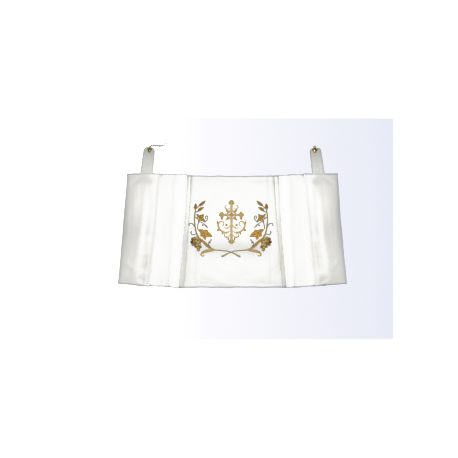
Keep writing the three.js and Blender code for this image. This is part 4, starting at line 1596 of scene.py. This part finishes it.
def centripetal(points, count):
    """Centripetal curve through the points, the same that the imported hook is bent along."""
    p = np.vstack((2 * points[0] - points[1], points, 2 * points[-1] - points[-2]))
    parts = []
    for a, b, c, d in zip(p, p[1:], p[2:], p[3:]):
        gaps = [max(np.linalg.norm(q - r), 1e-4) ** 0.5 for q, r in ((b, a), (c, b), (d, c))]
        m1 = ((b - a) / gaps[0] - (c - a) / (gaps[0] + gaps[1]) + (c - b) / gaps[1]) * gaps[1]
        m2 = ((c - b) / gaps[1] - (d - b) / (gaps[1] + gaps[2]) + (d - c) / gaps[2]) * gaps[1]
        t = np.linspace(0, 1, HOOK_CURVE_STEPS, endpoint=False)[:, None]
        parts.append(b + m1 * t + (-3 * b + 3 * c - 2 * m1 - m2) * t ** 2
                     + (2 * b - 2 * c + m1 + m2) * t ** 3)
    dense = np.vstack(parts + [points[-1][None]])
    length = distances(dense)
    return between(length, dense, np.linspace(0, length[-1], count))


# Stage: a white table, with a sheet of paper on it that turns faintly lilac towards the right

def make_stage():
    """The table, as wide as any view, with the paper painted on it."""
    corners = [(x * FLOOR_HALF, y * FLOOR_HALF, FLOOR_LEVEL)
               for x, y in ((-1, -1), (1, -1), (1, 1), (-1, 1))]
    floor = mesh_piece("floor", corners, [(0, 1, 2, 3)])
    material, tree, shader = new_material("floor_paint")
    place = add_node(tree, "ShaderNodeTexCoord").outputs["Object"]
    parts = add_node(tree, "ShaderNodeSeparateXYZ", None, {"Vector": place})
    x, y = parts.outputs["X"], parts.outputs["Y"]
    left, right, low, high = (v * METRES for v in PAPER)
    soft = PAPER_EDGE * METRES
    inside = mapped(tree, x, right, right + soft, 1, 0)
    inside = maths(tree, "MULTIPLY", inside, mapped(tree, y, low - soft, low, 0, 1))
    inside = maths(tree, "MULTIPLY", inside, mapped(tree, y, high, high + soft, 1, 0))
    ramp = add_node(tree, "ShaderNodeValToRGB", None, {"Fac": mapped(tree, x, left, right, 0, 1)})
    stops = ramp.color_ramp.elements
    stops[0].position, stops[0].color = 0.0, (1, 1, 1, 1)
    stops[1].position, stops[1].color = 1.0, (*paint(*PAPER_RIGHT), 1)
    for i in range(PAPER_STOPS):
        share = i / PAPER_STOPS
        tone = [mix(a, b, share) for a, b in zip(PAPER_LEFT, PAPER_RIGHT)]
        stops.new(mix(PAPER_FADE, 1, share)).color = (*paint(*tone), 1)
    tone = blended(tree, inside, (1.0, 1.0, 1.0), ramp.outputs["Color"])
    set_inputs(tree, shader, {
        "Base Color": blended(tree, inside, (TABLE_GREY,) * 3, (PAPER_GREY,) * 3),
        "Emission Color": tone, "Emission Strength": FLOOR_GLOW,
        "Roughness": 0.9, "Specular IOR Level": 0.0,
    })
    floor.data.materials.append(material)


def set_tones():
    """Plain colours, with more contrast in the pale greys and a soft shoulder under white."""
    view = bpy.context.scene.view_settings
    view.view_transform = "Standard"
    view.use_curve_mapping = True
    curve = view.curve_mapping.curves[COMBINED_CURVE]
    curve.points[0].location = TONES[0]
    curve.points[1].location = TONES[-1]
    for tone in TONES[1:-1]:
        curve.points.new(*tone)
    view.curve_mapping.update()


def make_light():
    """A soft square light above, turned to the veil's middle."""
    data = bpy.data.lights.new("top_light", "AREA")
    data.shape = "RECTANGLE"
    data.size = data.size_y = LIGHT_SIZE * METRES
    data.energy = LIGHT_POWER
    light = bpy.data.objects.new("top_light", data)
    light.location = Vector(LIGHT_PLACE) * METRES
    light.rotation_mode = "QUATERNION"
    light.rotation_quaternion = (-Vector(LIGHT_PLACE)).to_track_quat("-Z", "Y")
    light.visible_camera = False
    bpy.context.scene.collection.objects.link(light)


def make_world():
    world = bpy.data.worlds.new("studio")
    world.use_nodes = True
    background = next(n for n in world.node_tree.nodes if n.type == "BACKGROUND")
    background.inputs["Color"].default_value = (1.0, 1.0, 1.0, 1.0)
    background.inputs["Strength"].default_value = WORLD_STRENGTH
    bpy.context.scene.world = world


def make_camera():
    data = bpy.data.cameras.new("camera")
    data.lens = LENS
    data.sensor_width = SENSOR
    data.clip_start, data.clip_end = CAMERA_CLIP
    camera = bpy.data.objects.new("camera", data)
    camera.location = Vector((CAMERA_X, CAMERA_Y, CAMERA_HEIGHT)) * METRES
    bpy.context.scene.collection.objects.link(camera)
    bpy.context.scene.camera = camera


VEIL = make_veil()
LEFT_TAB, RIGHT_TAB = make_tab("left"), make_tab("right")
HEM_SEWING = make_stitches("hem_stitches", hem_lines(), HEM_THREAD)
TAB_SEWING = [make_stitches("tab_stitches_" + side, tab_lines(side), TAB_THREAD)
              for side in ("left", "right")]
VINES = [make_vine(-1, "embroidery_left"), make_vine(1, "embroidery_right")]
CROSS = make_cross()
make_plate("left")
make_plate("right")
make_chain()

make_stage()
make_light()
make_world()
make_camera()
set_tones()
